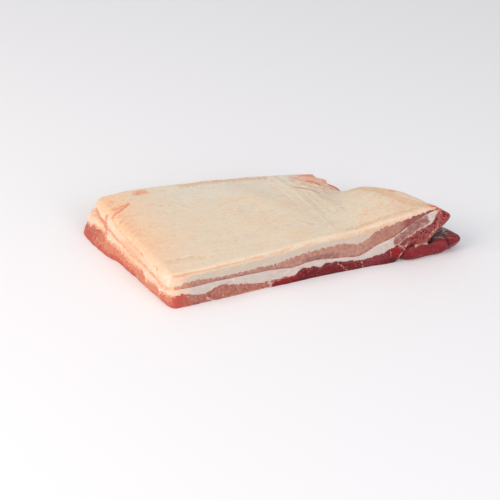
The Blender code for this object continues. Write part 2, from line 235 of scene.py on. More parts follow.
@dataclass(frozen=True)
class SlabForm:
    """The slab's form, with the same sizes as the CAD source, and its ragged layer edges."""

    middle: Pair = (0.22, 6.92)
    front_ends: Pair = (-159.0, 154.0)
    back_ends: Pair = (-176.0, 78.0)
    front_edge: Points = ((-159, -79.5), (-43, -78), (47, -78), (107, -81), (154, -83))
    back_edge: Points = ((-176, 97), (-109, 100), (-52, 91), (24, 77), (78, 62))
    length: float = 300.0
    width: float = 165.0
    right_bow: Points = ((0, 0), (0.15, 7.0), (0.35, 4.0), (0.6, 1.0), (1, 0))
    bow_reach: float = 70.0
    corner_radii: tuple[tuple[str, float], ...] = (
        ("front_left", 8.0),
        ("front_right", 6.0),
        ("back_left", 20.0),
        ("back_right", 5.0),
    )
    rind_front: Points = (
        (-159, 39.0), (-117, 39.8), (-54, 41.3), (8, 45.4),
        (70, 46.8), (109, 53.0), (147, 59.0), (154, 59.3),
    )
    rind_back: Points = ((-176, 34.8), (-155, 36.0), (-105, 35.4), (-43, 36.8), (24, 37.5), (78, 37.5))
    lower_lean_front: Points = (
        (-159, 14.6), (-149, 15.6), (-120, 10.4), (-104, 15.2), (-80, 12.1), (-40, 7.4),
        (-8, 12.2), (27, 13.8), (70, 10.2), (98, 15.8), (111, 21.9), (127, 33.6),
        (137, 37.5), (147, 51.0), (154, 53.0),
    )
    seam_front: Points = (
        (-159, 21.2), (-129, 20.4), (-106, 21.4), (-42, 19.7), (-22, 18.8), (15, 22.3),
        (39, 18.2), (68, 16.4), (82, 23.5), (108, 33.1), (121, 42.4), (145, 53.4), (154, 55.0),
    )
    upper_lean_front: Points = (
        (-159, 24.2), (-143, 26.6), (-100, 25.6), (-42, 26.0), (14, 32.6), (45, 32.8),
        (65, 30.2), (85, 41.0), (109, 47.0), (145, 55.3), (154, 56.8),
    )
    lower_lean_left: Points = ((0, 0.36), (0.08, 0.30), (0.3, 0.40), (0.6, 0.45), (0.8, 0.44), (1, 0.44))
    seam_left: Points = ((0, 0.53), (0.1, 0.50), (0.45, 0.58), (0.7, 0.60), (0.87, 0.68), (1, 0.62))
    upper_lean_left: Points = ((0, 0.61), (0.1, 0.56), (0.45, 0.63), (0.7, 0.65), (0.87, 0.74), (1, 0.68))
    lower_lean_right: Points = ((0, 0.86), (0.12, 0.62), (0.3, 0.42), (0.7, 0.38), (1, 0.40))
    seam_right: Points = ((0, 0.90), (0.12, 0.72), (0.3, 0.56), (0.7, 0.52), (0.88, 0.60), (1, 0.56))
    upper_lean_right: Points = ((0, 0.94), (0.12, 0.84), (0.3, 0.68), (0.7, 0.70), (0.88, 0.84), (1, 0.80))
    lower_lean_back: Points = ((0, 0.44), (0.3, 0.36), (0.6, 0.46), (1, 0.40))
    seam_back: Points = ((0, 0.60), (0.3, 0.52), (0.6, 0.58), (1, 0.56))
    upper_lean_back: Points = ((0, 0.65), (0.3, 0.66), (0.6, 0.70), (1, 0.80))
    left_lean: Points = ((0, -2.0), (0.2, 1.5), (0.5, 7.5), (0.75, 17.5), (1, 18.0))
    front_lean: float = 5.0
    back_lean: float = 4.0
    lean_reach: float = 40.0
    nose_reach: Points = ((0, 22.5), (0.15, 13.0), (0.4, 6.0), (1, 5.0))
    nose_shape: Points = (
        (0, -0.3), (0.15, 0), (0.3, 0.35), (0.45, 0.75),
        (0.62, 1.0), (0.8, 0.6), (0.92, 0.22), (1, 0),
    )
    left_roll: float = 7.0
    right_roll: Points = ((0, 8.0), (0.55, 8.0), (0.74, 2.6), (1, 2.0))
    front_roll: float = 3.0
    back_roll: float = 5.0
    roll_depth: float = 0.9
    cut_along: Pair = (-0.52, 0.854)
    cut_across: Pair = (0.854, 0.52)
    swellings: tuple[tuple[float, ...], ...] = (
        (136.0, -27.0, 8.0, 40.0, 60.0),
        (101.0, 30.0, -13.0, 21.0, 48.0),
        (-12.0, 34.0, 1.4, 60.0, 14.0),
    )
    lift_height: float = 19.0
    lift_start: float = 104.0
    lift_run: float = 20.0
    lift_spread: float = 0.35
    lift_front: float = -84.0
    lift_back: Pair = (-22.0, 44.0)
    least_layer: float = 1.6
    ragged_reach: float = 7.0
    left_wander: Points = (
        (0, 0), (0.08, -0.5), (0.105, -3.6), (0.12, 0.8), (0.16, 1.4), (0.19, -1.0), (0.225, -3.2),
        (0.245, -6.4), (0.265, -2.6), (0.38, -3.2), (0.47, -3.2), (0.56, -2.2), (0.63, -0.2),
        (0.70, -1.6), (0.73, 2.0), (0.82, 3.2), (0.88, 0.6), (0.93, -0.6), (1, 0),
    )
    front_wanders: tuple[Points, Points] = (
        (
            (-34, 0), (-24, -1.0), (-13, -2.4), (-9, 1.2), (2, 0.2),
            (13, -1.4), (16, -3.2), (19, -0.8), (28, 0),
        ),
        ((-30, 0), (-12, -1.4), (8, -2.0), (30, -1.8), (48, -0.4), (60, 0)),
    )
    strays: tuple[Pair, ...] = ((0.35, 0.3), (1.0, 0.4), (0.9, 0.5), (1.2, 0.5))
    stray_pitches: Pair = (17.0, 5.5)
    stray_reach: float = 12.0
    stray_slant: float = 9.0
    torn_start: Pair = (0.60, 0.12)
    torn_calm: float = 0.6
    torn_reach: float = 16.0
    torn_edge: Points = (
        (0.6, 0), (0.68, -1.4), (0.72, -2.2), (0.75, 0.6), (0.78, 3.0), (0.8, 4.0), (0.82, 3.4),
        (0.84, 0.6), (0.86, -1.4), (0.88, 0.2), (0.9, 1.4), (0.915, -3.0), (0.93, -5.0),
        (0.95, -4.2), (0.98, -1.2), (1, 1.4),
    )
    lobe_sizes: tuple[Four, ...] = (
        (2.2, 8.5, 0.8, 2.8),
        (0.0, 9.0, 0.35, 3.0),
        (2.8, 6.8, 1.1, 2.6),
    )
    wobble: Pair = (0.35, 14.0)
    wander_times: float = 1.6
    notch_reach: float = 1.0
    left_blend: float = 50.0
    right_blend: float = 40.0
    right_onset: float = 6.0

    def sides(self, u: Array, v: Array) -> tuple[tuple[Array, Array], ...]:
        """How far each place lies from the front, back, left and right cuts, and where along them.

        Args:
            u: Places along the slab.
            v: Places across it.

        Returns:
            A pair of arrays for each of the four cuts.
        """
        along, across = u * self.length, v * self.width
        return (
            (across, along),
            (self.width - across, along),
            (along, across),
            (self.length - along, across),
        )

    def edge_distance(self, u: Array, v: Array) -> Array:
        """How far each place lies from the nearest cut."""
        return np.minimum(np.minimum(u, 1 - u) * self.length, np.minimum(v, 1 - v) * self.width)

    def round_corners(self, u: Array, v: Array) -> tuple[Array, Array]:
        """Pulls the square grid's four corners in to arcs.

        Args:
            u: Places along the slab.
            v: Places across it.

        Returns:
            The places with their corners rounded.
        """
        along, across = u * self.length, v * self.width
        for name, radius in self.corner_radii:
            end = self.length if "right" in name else 0.0
            side = self.width if "back" in name else 0.0
            p = np.clip(1 - np.abs(along - end) / radius, 0, 1)
            q = np.clip(1 - np.abs(across - side) / radius, 0, 1)
            inside = (p > 0) & (q > 0)
            inward = np.sign(self.length / 2 - end) * radius * (1 - p * np.sqrt(1 - q * q / 2))
            backward = np.sign(self.width / 2 - side) * radius * (1 - q * np.sqrt(1 - p * p / 2))
            along = np.where(inside, end + inward, along)
            across = np.where(inside, side + backward, across)
        return along / self.length, across / self.width

    def front_and_back(self, u: Array) -> tuple[Array, Array]:
        """X on the front edge and on the back edge.

        Args:
            u: Places along the slab.

        Returns:
            The two, in millimetres.
        """
        front = self.front_ends[0] + u * (self.front_ends[1] - self.front_ends[0])
        back = self.back_ends[0] + u * (self.back_ends[1] - self.back_ends[0])
        return front, back

    def plan(self, u: Array, v: Array) -> tuple[Array, Array]:
        """Where a place on the rind lies, seen from above.

        Args:
            u: Places along the slab.
            v: Places across it.

        Returns:
            X and y before the cuts lean, in millimetres.
        """
        front, back = self.front_and_back(u)
        bow = nearness((1 - u) * self.length, self.bow_reach) * curve(self.right_bow, v)
        x = (1 - v) * front + v * back + bow
        y = (1 - v) * curve(self.front_edge, front) + v * curve(self.back_edge, back)
        return x, y

    def cut_plan(self, u: Array, v: Array, share: Array) -> tuple[Array, Array]:
        """Where a place lies at a share of the slab's height, with the lean of the cuts.

        Args:
            u: Places along the slab.
            v: Places across it.
            share: The share of the slab's height.

        Returns:
            X and y, in millimetres.
        """
        x, y = self.plan(u, v)
        reach = self.lean_reach
        x = x - nearness(u * self.length, reach) * curve(self.left_lean, v) * (1 - share)
        y = y - nearness(v * self.width, reach) * self.front_lean * (1 - share)
        y = y + nearness((1 - v) * self.width, reach) * self.back_lean * (1 - share)
        nose = curve(self.nose_reach, v) * curve(self.nose_shape, share)
        x = x + nearness((1 - u) * self.length, reach) * nose
        stray_x, stray_y = self.stray(u, v, share)
        return x + stray_x, y + stray_y

    def stray(self, u: Array, v: Array, share: Array) -> tuple[Array, Array]:
        """How far the cut edges wander in and out, with torn notches at the back right corner.

        Args:
            u: Places along the slab.
            v: Places across it.
            share: The share of the slab's height.

        Returns:
            The wander along x and along y.
        """
        rise = self.stray_slant * share
        broad_pitch, fine_pitch = self.stray_pitches
        out = []
        for side, (distance, at) in enumerate(self.sides(u, v)):
            broad, fine = self.strays[side]
            seed = STRAY_SEED + 10 * side
            broad_wave = broad * drift(at + rise, broad_pitch, seed)
            fine_wave = fine * drift(at - rise, fine_pitch, seed + 1)
            out.append(nearness(distance, self.stray_reach) * (broad_wave + fine_wave))
        front, back, left, right = out
        torn = curve(self.torn_edge, v + (rise - self.stray_slant) / self.width)
        right = right * (1 - self.torn_calm * ramp(v, *self.torn_start))
        right = right + torn * nearness((1 - u) * self.length, self.torn_reach)
        return right - left, back - front

    def lift(self, x: Array, y: Array) -> Array:
        """Height of the slab's underside, which the flap holds up at the right end.

        Args:
            x: Places along the slab, in millimetres.
            y: Places across it, in millimetres.

        Returns:
            The height, 0 where the slab lies on the floor.
        """
        behind = np.maximum(y - self.lift_front, 0)
        start = self.lift_start - self.lift_spread * behind
        rising = ease((x - start) / (self.lift_run + self.lift_spread * behind))
        return self.lift_height * rising * (1 - ramp(y, *self.lift_back))

    def roll(self, u: Array, v: Array) -> Array:
        """How far the rind has rolled down towards each edge.

        Args:
            u: Places along the slab.
            v: Places across it.

        Returns:
            How far down, in millimetres.
        """
        radii = (self.front_roll, self.back_roll, self.left_roll, curve(self.right_roll, v))
        down = np.zeros_like(u)
        for (distance, _), radius in zip(self.sides(u, v), radii):
            near = self.roll_depth * np.clip(1 - distance / radius, 0, 1)
            down = np.maximum(down, radius * (1 - np.sqrt(1 - near * near)))
        return down

    def rind_height(self, u: Array, v: Array) -> Array:
        """Height of the rind before it rolls over an edge.

        Args:
            u: Places along the slab.
            v: Places across it.

        Returns:
            The height, in millimetres.
        """
        front, back = self.front_and_back(u)
        x, y = self.plan(u, v)
        height = (1 - v) * curve(self.rind_front, front) + v * curve(self.rind_back, back)
        for middle_x, middle_y, rise, along_size, across_size in self.swellings:
            dx, dy = x - middle_x, y - middle_y
            along = (dx * self.cut_along[0] + dy * self.cut_along[1]) / along_size
            across = (dx * self.cut_across[0] + dy * self.cut_across[1]) / across_size
            height = height + rise * np.exp(-along * along - across * across)
        return height

    def face_share(self, name: str, u: Array, v: Array) -> Array:
        """How high an inner face lies between the underside and the rind, from 0 to 1.

        Args:
            name: The face's name in the form's fields.
            u: Places along the slab.
            v: Places across it.

        Returns:
            The share.
        """
        front, _ = self.front_and_back(u)
        foot = self.lift(front, curve(self.front_edge, front) - self.front_lean)
        front_heights = curve(getattr(self, f"{name}_front"), front)
        front_share = (front_heights - foot) / (curve(self.rind_front, front) - foot)
        share = (1 - v) * front_share + v * curve(getattr(self, f"{name}_back"), u)
        at_left = nearness(u * self.length, self.left_blend)
        share = share + at_left * (curve(getattr(self, f"{name}_left"), v) - share)
        at_right = nearness((1 - u) * self.length, self.right_blend) * ease(v * self.right_onset)
        return share + at_right * (curve(getattr(self, f"{name}_right"), v) - share)

    def ragged(self, level: int, u: Array, v: Array) -> Array:
        """How far a layer's edge strays from its smooth line, near the cuts.

        Args:
            level: 1 for the top of the lower lean, 2 for the seam's, 3 for the upper lean's.
            u: Places along the slab.
            v: Places across it.

        Returns:
            The height to add.
        """
        broad, pitch, small, fine = self.lobe_sizes[level - 1]
        wave, wave_pitch = self.wobble
        stray = np.zeros_like(u)
        for side, (distance, at) in enumerate(self.sides(u, v)):
            seed = self.lobe_seed(level, side)
            lobe = broad * (scallops(at, pitch, seed) - 0.5)
            lobe = lobe + small * (scallops(at, fine, seed + 5) - 0.5)
            lobe = lobe + wave * drift(at, wave_pitch, seed + 50)
            stray = stray + nearness(distance, self.ragged_reach) * lobe
        reach = self.wander_times * self.ragged_reach
        if level == 1:
            stray = stray + nearness(u * self.length, reach) * curve(self.left_wander, v)
        if level < 3:
            front, _ = self.front_and_back(u)
            stray = stray + nearness(v * self.width, reach) * curve(self.front_wanders[level - 1], front)
        return stray

    def lobe_seed(self, level: int, side: int) -> int:
        """Seed of the lobes on one side of one level."""
        return SEED + 10 * level + side

    def bundle_lines(self, level: int, u: Array, v: Array) -> Array:
        """1 where a notch between two muscle bundles meets a cut, 0 elsewhere.

        Args:
            level: 1 for the top of the lower lean, 2 for the seam's, 3 for the upper lean's.
            u: Places along the slab.
            v: Places across it.

        Returns:
            The strength of the notch.
        """
        pitch = self.lobe_sizes[level - 1][1]
        found = np.zeros_like(u)
        for side, (distance, at) in enumerate(self.sides(u, v)):
            line = notches(at, pitch, self.lobe_seed(level, side))
            found = np.maximum(found, np.where(distance < self.notch_reach, line, 0))
        return found

    def levels(self, u: Array, v: Array) -> list[Array]:
        """Heights of the underside, the three inner faces and the rind at each place.

        Args:
            u: Places along the slab.
            v: Places across it.

        Returns:
            The five heights, from the underside up.
        """
        foot = self.lift(*self.cut_plan(u, v, np.zeros_like(u)))
        top = self.rind_height(u, v)
        heights = [foot]
        for level, name in enumerate(("lower_lean", "seam", "upper_lean"), start=1):
            heights.append(foot + self.face_share(name, u, v) * (top - foot) + self.ragged(level, u, v))
        heights.append(top - self.roll(u, v))
        for i in range(1, 5):
            heights[i] = np.maximum(heights[i], heights[i - 1] + self.least_layer)
        for i in range(3, 0, -1):
            heights[i] = np.minimum(heights[i], heights[i + 1] - self.least_layer)
        return heights

    def place(self, u: Array, v: Array, z: Array, heights: list[Array]) -> Array:
        """Puts a height at a place on the slab, in the frame's axes.

        Args:
            u: Places along the slab.
            v: Places across it.
            z: The height.
            heights: The slab's five levels there.

        Returns:
            The point.
        """
        share = np.clip((z - heights[0]) / (heights[4] - heights[0]), 0, 1)
        x, y = self.cut_plan(u, v, share)
        return np.stack([x - self.middle[0], y - self.middle[1], z], axis=-1)


FORM = SlabForm()

# Lines that run on over several layers of the left cut, as (y, z): the long seam, the forked
# crease near its back end, and that crease's upper leg.
LONG_SEAM: Points = (
    (84, 27), (73.5, 27.6), (62.5, 26.4), (49.4, 24.2), (45, 22.2), (32, 22.8), (19, 22.1), (7, 20.4),
    (-10, 19.8), (-24, 20.8), (-40, 22.4), (-55, 21.5), (-63, 19.4), (-71, 17.5), (-84, 19.4),
)
FORKED_CREASE: Points = ((57, 33.5), (52, 28), (48.5, 24), (43, 21.2), (40, 18.5))
UPPER_LEG: Points = ((75, 29), (62.5, 27), (49.4, 24.4))
# Where the cut fat shines at the front corner, as (x, z) on the front cut.
CORNER_LIGHT = Stroke(((-157.5, 22), (-158, 36)), 2.6, 1.0)


def spaced(count: int, crowding: float) -> Array:
    """Places from 0 to 1, closer together near both ends."""
    t = np.linspace(0, 1, count)
    return t - crowding * np.sin(2 * math.pi * t) / (2 * math.pi)


def ring_of(rows: int, columns: int) -> list[tuple[int, int]]:
    """A grid's edge, once round, as (row, column), seen from above anticlockwise.

    Args:
        rows: The grid's rows.
        columns: The grid's columns.

    Returns:
        The places, from the front left corner on.
    """
    front = [(0, c) for c in range(columns - 1)]
    right = [(r, columns - 1) for r in range(rows - 1)]
    back = [(rows - 1, c) for c in range(columns - 1, 0, -1)]
    left = [(r, 0) for r in range(rows - 1, 0, -1)]
    return front + right + back + left


def quads(number: Array) -> list[tuple[int, ...]]:
    """The quads of a grid of point numbers, row by row."""
    corners = (number[:-1, :-1], number[:-1, 1:], number[1:, 1:], number[1:, :-1])
    return [tuple(quad) for quad in np.stack(corners, axis=-1).reshape(-1, 4).tolist()]


def round_share(ring: Array) -> Array:
    """How far round a ring each of its points lies, with its four sides of equal share."""
    turned = np.unwrap(np.arctan2(ring[:, 1] / FORM.width, ring[:, 0] / FORM.length))
    return (turned - turned[0]) / (2 * math.pi)


def bridge(outer: list[int], outer_at: Array, inner: list[int], inner_at: Array) -> list[tuple[int, ...]]:
    """Triangles between two closed rings that have different counts.

    Args:
        outer: Point numbers of the outer ring.
        outer_at: How far round each lies, from 0 to 1.
        inner: Point numbers of the inner ring.
        inner_at: How far round each lies, from 0 to 1.

    Returns:
        The triangles, wound as the rings run.
    """
    faces = []
    i = j = 0
    outer_at = np.append(outer_at, 1.0)
    inner_at = np.append(inner_at, 1.0)
    while i < len(outer) or j < len(inner):
        here, there = outer[i % len(outer)], inner[j % len(inner)]
        if j == len(inner) or (i < len(outer) and outer_at[i + 1] <= inner_at[j + 1]):
            faces.append((here, outer[(i + 1) % len(outer)], there))
            i += 1
        else:
            faces.append((here, inner[(j + 1) % len(inner)], there))
            j += 1
    return faces


def add_object(name: str, data: bpy.types.ID) -> Item:
    """Makes an object in the scene, at the origin.

    Args:
        name: Its name.
        data: Its mesh, light or camera.

    Returns:
        The object.
    """
    item = bpy.data.objects.new(name, data)
    bpy.context.scene.collection.objects.link(item)
    return item


def write_mesh(name: str, points: Array, faces: list, masks: dict[str, Array]) -> Item:
    """Makes a closed mesh object with its masks as point attributes.

    Args:
        name: The piece's name.
        points: Its points, in millimetres.
        faces: Its faces, as point numbers.
        masks: Named values, one for each point.

    Returns:
        The new object, smooth shaded, with its faces outwards.
    """
    mesh = bpy.data.meshes.new(name)
    low, high = (np.array(corner) / MM for corner in CAD_BOX)
    mesh.from_pydata((np.clip(points, low, high) * MM).tolist(), [], faces)
    body = bmesh.new()
    body.from_mesh(mesh)
    bmesh.ops.recalc_face_normals(body, faces=body.faces)
    if body.calc_volume(signed=True) < 0:
        bmesh.ops.reverse_faces(body, faces=body.faces)
    body.to_mesh(mesh)
    body.free()
    mesh.shade_smooth()
    for mask, values in masks.items():
        layer = mesh.attributes.new(mask, "FLOAT", "POINT")
        layer.data.foreach_set("value", np.asarray(values, np.float32))
    return add_object(name, mesh)


def settle(piece: Item, node: str = "") -> Item:
    """Keeps a finished piece inside the CAD model's box, ties it to the frame and reports it.

    Args:
        piece: The piece.
        node: The CAD node that it stands for, if any.

    Returns:
        The same piece.
    """
    mesh = piece.data
    places = np.empty(len(mesh.vertices) * 3, np.float32)
    mesh.vertices.foreach_get("co", places)
    low, high = (np.array(corner) for corner in CAD_BOX)
    places = np.clip(places.reshape(-1, 3), low, high)
    mesh.vertices.foreach_set("co", places.ravel().astype(np.float32))
    mesh.update()
    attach(piece, BODY)
    if node:
        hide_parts(node)
    LOG.info("%s: %d faces", piece.name, len(mesh.polygons))
    return piece


def add_node(
    tree: Tree, kind: str, inputs: dict[str | int, object] | None = None, **settings: object
) -> bpy.types.Node:
    """Adds a node with its settings, and fills or links its inputs.

    Args:
        tree: The tree that the node goes in.
        kind: Blender's name for the node.
        inputs: Inputs by name, or by number where some share a name. Each is a value, an output,
            or a node for its first output.
        settings: Properties of the node.

    Returns:
        The node.
    """
    node = tree.nodes.new(kind)
    for name, value in settings.items():
        setattr(node, name, value)
    for key, value in (inputs or {}).items():
        if isinstance(value, bpy.types.Node):
            value = value.outputs[0]
        if isinstance(value, Socket):
            tree.links.new(value, node.inputs[key])
        else:
            node.inputs[key].default_value = value
    return node


def linear(hex_colour: str) -> Four:
    """Turns an sRGB hex colour to the linear values that a shader takes.

    Args:
        hex_colour: Six hex digits.

    Returns:
        Red, green, blue and full opacity.
    """
    parts = [int(hex_colour[i : i + 2], 16) / 255 for i in (0, 2, 4)]
    values = [p / 12.92 if p <= 0.04045 else ((p + 0.055) / 1.055) ** 2.4 for p in parts]
    return (*values, 1.0)


# Nearly all of a cloud's values lie between these two.
CLOUD_LOW = 0.3
CLOUD_HIGH = 0.7
# How far a pattern's seed moves it along each axis, and the seeds beside those of the coats.
SEED_STEPS = (0.731, 0.417, 0.259)
DAMP_SEED = 40
BUMP_SEED = 50


class Pattern(Enum):
    """What breaks up a coat of colour: the node, its settings and the output it is read from."""

    CLOUD = ("ShaderNodeTexNoise", {"noise_dimensions": "3D"}, "Fac")
    SEAMS = ("ShaderNodeTexVoronoi", {"feature": "DISTANCE_TO_EDGE"}, "Distance")


@dataclass(frozen=True)
class Coat:
    """A colour laid over those below it where a mask and a pattern together are strong.

    The mask is a point attribute, or nothing where the pattern alone decides. The coat starts
    to show at the sum start and shows fully at full. Grain is how much the pattern adds to the
    mask. The pattern's size is in millimetres, and stretch is how many times longer it is along
    each axis. Within names an attribute outside which the coat doesn't show.
    """

    colour: str
    mask: str = ""
    start: float = 0.3
    full: float = 0.7
    size: float = 4.0
    grain: float = 0.3
    stretch: Triple = (1.0, 1.0, 1.0)
    strength: float = 1.0
    pattern: Pattern = Pattern.CLOUD
    within: str = ""


@dataclass(frozen=True)
class Relief:
    """One size of bump, in millimetres."""

    size: float
    depth: float
    stretch: Triple = (1.0, 1.0, 1.0)


@dataclass(frozen=True)
class Finish:
    """A raw meat surface: coats of colour, moist roughness, bump and the light it lets in."""

    name: str
    base: str
    coats: tuple[Coat, ...]
    reliefs: tuple[Relief, ...]
    roughness: Pair = (0.35, 0.55)
    roughness_size: float = 6.0
    glow: float = 0.35
    glow_radius: Triple = (1.0, 0.35, 0.2)
    glow_scale: float = 2.0
    ior: float = 1.42
    specular: float = 0.5
    moisture: float = 0.0
    moisture_roughness: float = 0.25
    cloud_detail: float = 3.0
    cloud_roughness: float = 0.6
    wander_scale: float = 1.6
    wander_reach: float = 1.5

    def pattern(
        self, tree: Tree, place: Socket, kind: Pattern, size: float, stretch: Triple, seed: int
    ) -> Socket:
        """Adds a pattern of a real size on the object's own coordinates.

        Args:
            tree: The material's tree.
            place: The object coordinates.
            kind: Which pattern.
            size: The size of one cell, in millimetres.
            stretch: How many times longer it is along each axis.
            seed: Moves the pattern, so that two of one kind differ.

        Returns:
            The pattern's value.
        """
        node_kind, settings, output = kind.value
        if kind is Pattern.SEAMS:
            place = self.wander(tree, place, size)
        where = {
            "Vector": place,
            "Location": tuple(seed * step for step in SEED_STEPS),
            "Scale": tuple(1 / (s * size * MM) for s in stretch),
        }
        inputs = {"Vector": add_node(tree, "ShaderNodeMapping", where), "Scale": 1.0}
        if kind is Pattern.CLOUD:
            inputs.update({"Detail": self.cloud_detail, "Roughness": self.cloud_roughness})
        return add_node(tree, node_kind, inputs, **settings).outputs[output]

    def wander(self, tree: Tree, place: Socket, size: float) -> Socket:
        """Bends the coordinates, so that lines drawn on them wander.

        Args:
            tree: The material's tree.
            place: The object coordinates.
            size: The size of one cell of the lines, in millimetres.

        Returns:
            The bent coordinates.
        """
        turns = {"Vector": place, "Scale": self.wander_scale / (size * MM), "Detail": self.cloud_detail}
        noise = add_node(tree, "ShaderNodeTexNoise", turns).outputs["Color"]
        centred = add_node(tree, "ShaderNodeVectorMath", {0: noise, 1: (0.5, 0.5, 0.5)}, operation="SUBTRACT")
        reach = (self.wander_reach * size * MM,) * 3
        bent = {0: centred, 1: reach, 2: place}
        return add_node(tree, "ShaderNodeVectorMath", bent, operation="MULTIPLY_ADD").outputs[0]

    def cover(self, tree: Tree, place: Socket, coat: Coat, seed: int) -> bpy.types.Node:
        """Works out how much of a coat shows.

        Args:
            tree: The material's tree.
            place: The object coordinates.
            coat: The coat.
            seed: Moves its pattern.

        Returns:
            The node that gives the share.
        """
        value = self.pattern(tree, place, coat.pattern, coat.size, coat.stretch, seed)
        if coat.mask:
            grain = {0: value, 1: CLOUD_LOW, 2: CLOUD_HIGH, 3: -coat.grain, 4: coat.grain}
            spread = add_node(tree, "ShaderNodeMapRange", grain)
            mask = add_node(tree, "ShaderNodeAttribute", attribute_name=coat.mask).outputs["Fac"]
            value = add_node(tree, "ShaderNodeMath", {0: mask, 1: spread}, operation="ADD")
        limits = {0: value, 1: coat.start, 2: coat.full, 4: coat.strength}
        amount = add_node(tree, "ShaderNodeMapRange", limits, interpolation_type="SMOOTHSTEP")
        if coat.within:
            area = add_node(tree, "ShaderNodeAttribute", attribute_name=coat.within).outputs["Fac"]
            amount = add_node(tree, "ShaderNodeMath", {0: amount, 1: area}, operation="MULTIPLY")
        return amount

    def colour(self, tree: Tree, place: Socket) -> Socket | Four:
        """Lays the coats over the base colour.

        Args:
            tree: The material's tree.
            place: The object coordinates.

        Returns:
            The surface's colour.
        """
        shown: Socket | Four = linear(self.base)
        for seed, coat in enumerate(self.coats, start=1):
            mix = {0: self.cover(tree, place, coat, seed), 6: shown, 7: linear(coat.colour)}
            shown = add_node(tree, "ShaderNodeMix", mix, data_type="RGBA").outputs[2]
        return shown

    def bumps(self, tree: Tree, place: Socket) -> dict[str, object]:
        """Adds the reliefs, one on another.

        Args:
            tree: The material's tree.
            place: The object coordinates.

        Returns:
            The shader's normal input, or nothing where there is no relief.
        """
        normal: dict[str, object] = {}
        for seed, relief in enumerate(self.reliefs, start=BUMP_SEED):
            height = self.pattern(tree, place, Pattern.CLOUD, relief.size, relief.stretch, seed)
            inputs = {"Height": height, "Distance": relief.depth * MM, "Strength": 1.0, **normal}
            normal = {"Normal": add_node(tree, "ShaderNodeBump", inputs)}
        return normal

    def build(self) -> bpy.types.Material:
        """Makes the material.

        Returns:
            The material.
        """
        material = bpy.data.materials.new(self.name)
        material.use_nodes = True
        tree = material.node_tree
        tree.nodes.clear()
        place = add_node(tree, "ShaderNodeTexCoord").outputs["Object"]
        damp = self.pattern(tree, place, Pattern.CLOUD, self.roughness_size, (1, 1, 1), DAMP_SEED)
        smooth, rough = self.roughness
        inputs = {
            "Base Color": self.colour(tree, place),
            "Roughness": add_node(
                tree, "ShaderNodeMapRange", {0: damp, 1: CLOUD_LOW, 2: CLOUD_HIGH, 3: smooth, 4: rough}
            ),
            "IOR": self.ior,
            "Specular IOR Level": self.specular,
            "Subsurface Weight": self.glow,
            "Subsurface Radius": self.glow_radius,
            "Subsurface Scale": self.glow_scale * MM,
            "Coat Weight": self.moisture,
            "Coat Roughness": self.moisture_roughness,
            **self.bumps(tree, place),
        }
        shader = add_node(tree, "ShaderNodeBsdfPrincipled", inputs, subsurface_method="RANDOM_WALK")
        add_node(tree, "ShaderNodeOutputMaterial", {"Surface": shader})
        return material


@dataclass(frozen=True)
class Unevenness:
    """The broad and the fine waves of a surface, in millimetres, and the seed that sets them apart."""

    broad_depth: float
    broad_size: float
    fine_depth: float
    fine_size: float
    seed: float

    def values(self, finish: Finish) -> dict[str, object]:
        """The relief tree's named inputs, with the material that dresses the piece.

        Args:
            finish: What the piece is dressed in.

        Returns:
            The inputs.
        """
        return {
            "Broad size": self.broad_size,
            "Broad depth": self.broad_depth,
            "Fine size": self.fine_size,
            "Fine depth": self.fine_depth,
            "Seed": self.seed,
            "Material": finish.build(),
        }


class MeshTree:
    """A Geometry Nodes tree that grows one plain, dressed mesh from a given one."""

    name = ""
    inputs: dict[str, tuple[str, object]] = {}

    def __init__(self) -> None:
        """Builds the tree with its named inputs and its ending."""
        self.tree = bpy.data.node_groups.new(self.name, "GeometryNodeTree")
        sockets = {"Geometry": ("Geometry", None), **self.inputs, "Material": ("Material", None)}
        new_socket = self.tree.interface.new_socket
        for name, (kind, value) in sockets.items():
            socket = new_socket(name=name, in_out="INPUT", socket_type=f"NodeSocket{kind}")
            if value is not None:
                socket.default_value = value
        new_socket(name="Geometry", in_out="OUTPUT", socket_type="NodeSocketGeometry")
        given = add_node(self.tree, "NodeGroupInput").outputs
        real = add_node(self.tree, "GeometryNodeRealizeInstances", {0: self.grow(self.tree, given)})
        dressed = add_node(self.tree, "GeometryNodeSetMaterial", {0: real, "Material": given["Material"]})
        add_node(self.tree, "NodeGroupOutput", {0: dressed})

    def grow(self, tree: Tree, given: bpy.types.NodeOutputs) -> bpy.types.Node:
        """Adds the nodes that make the geometry and returns the last. Each kind of tree has its own."""
        raise NotImplementedError

    def run(self, item: Item, values: dict[str, object], name: str) -> Item:
        """Runs the tree on an object and keeps the result as a plain mesh.

        Args:
            item: The object that carries the tree's starting mesh. It is removed.
            values: The tree's named inputs.
            name: The name of the finished piece.

        Returns:
            The finished piece, at the origin.
        """
        modifier = item.modifiers.new(self.name, "NODES")
        modifier.node_group = self.tree
        for socket in self.tree.interface.items_tree:
            if socket.name in values and socket.in_out == "INPUT":
                modifier[socket.identifier] = values[socket.name]
        graph = bpy.context.evaluated_depsgraph_get()
        mesh = bpy.data.meshes.new_from_object(item.evaluated_get(graph))
        draft = item.data
        item.modifiers.remove(modifier)
        bpy.data.objects.remove(item)
        bpy.data.meshes.remove(draft)
        mesh.name = name
        return add_object(name, mesh)


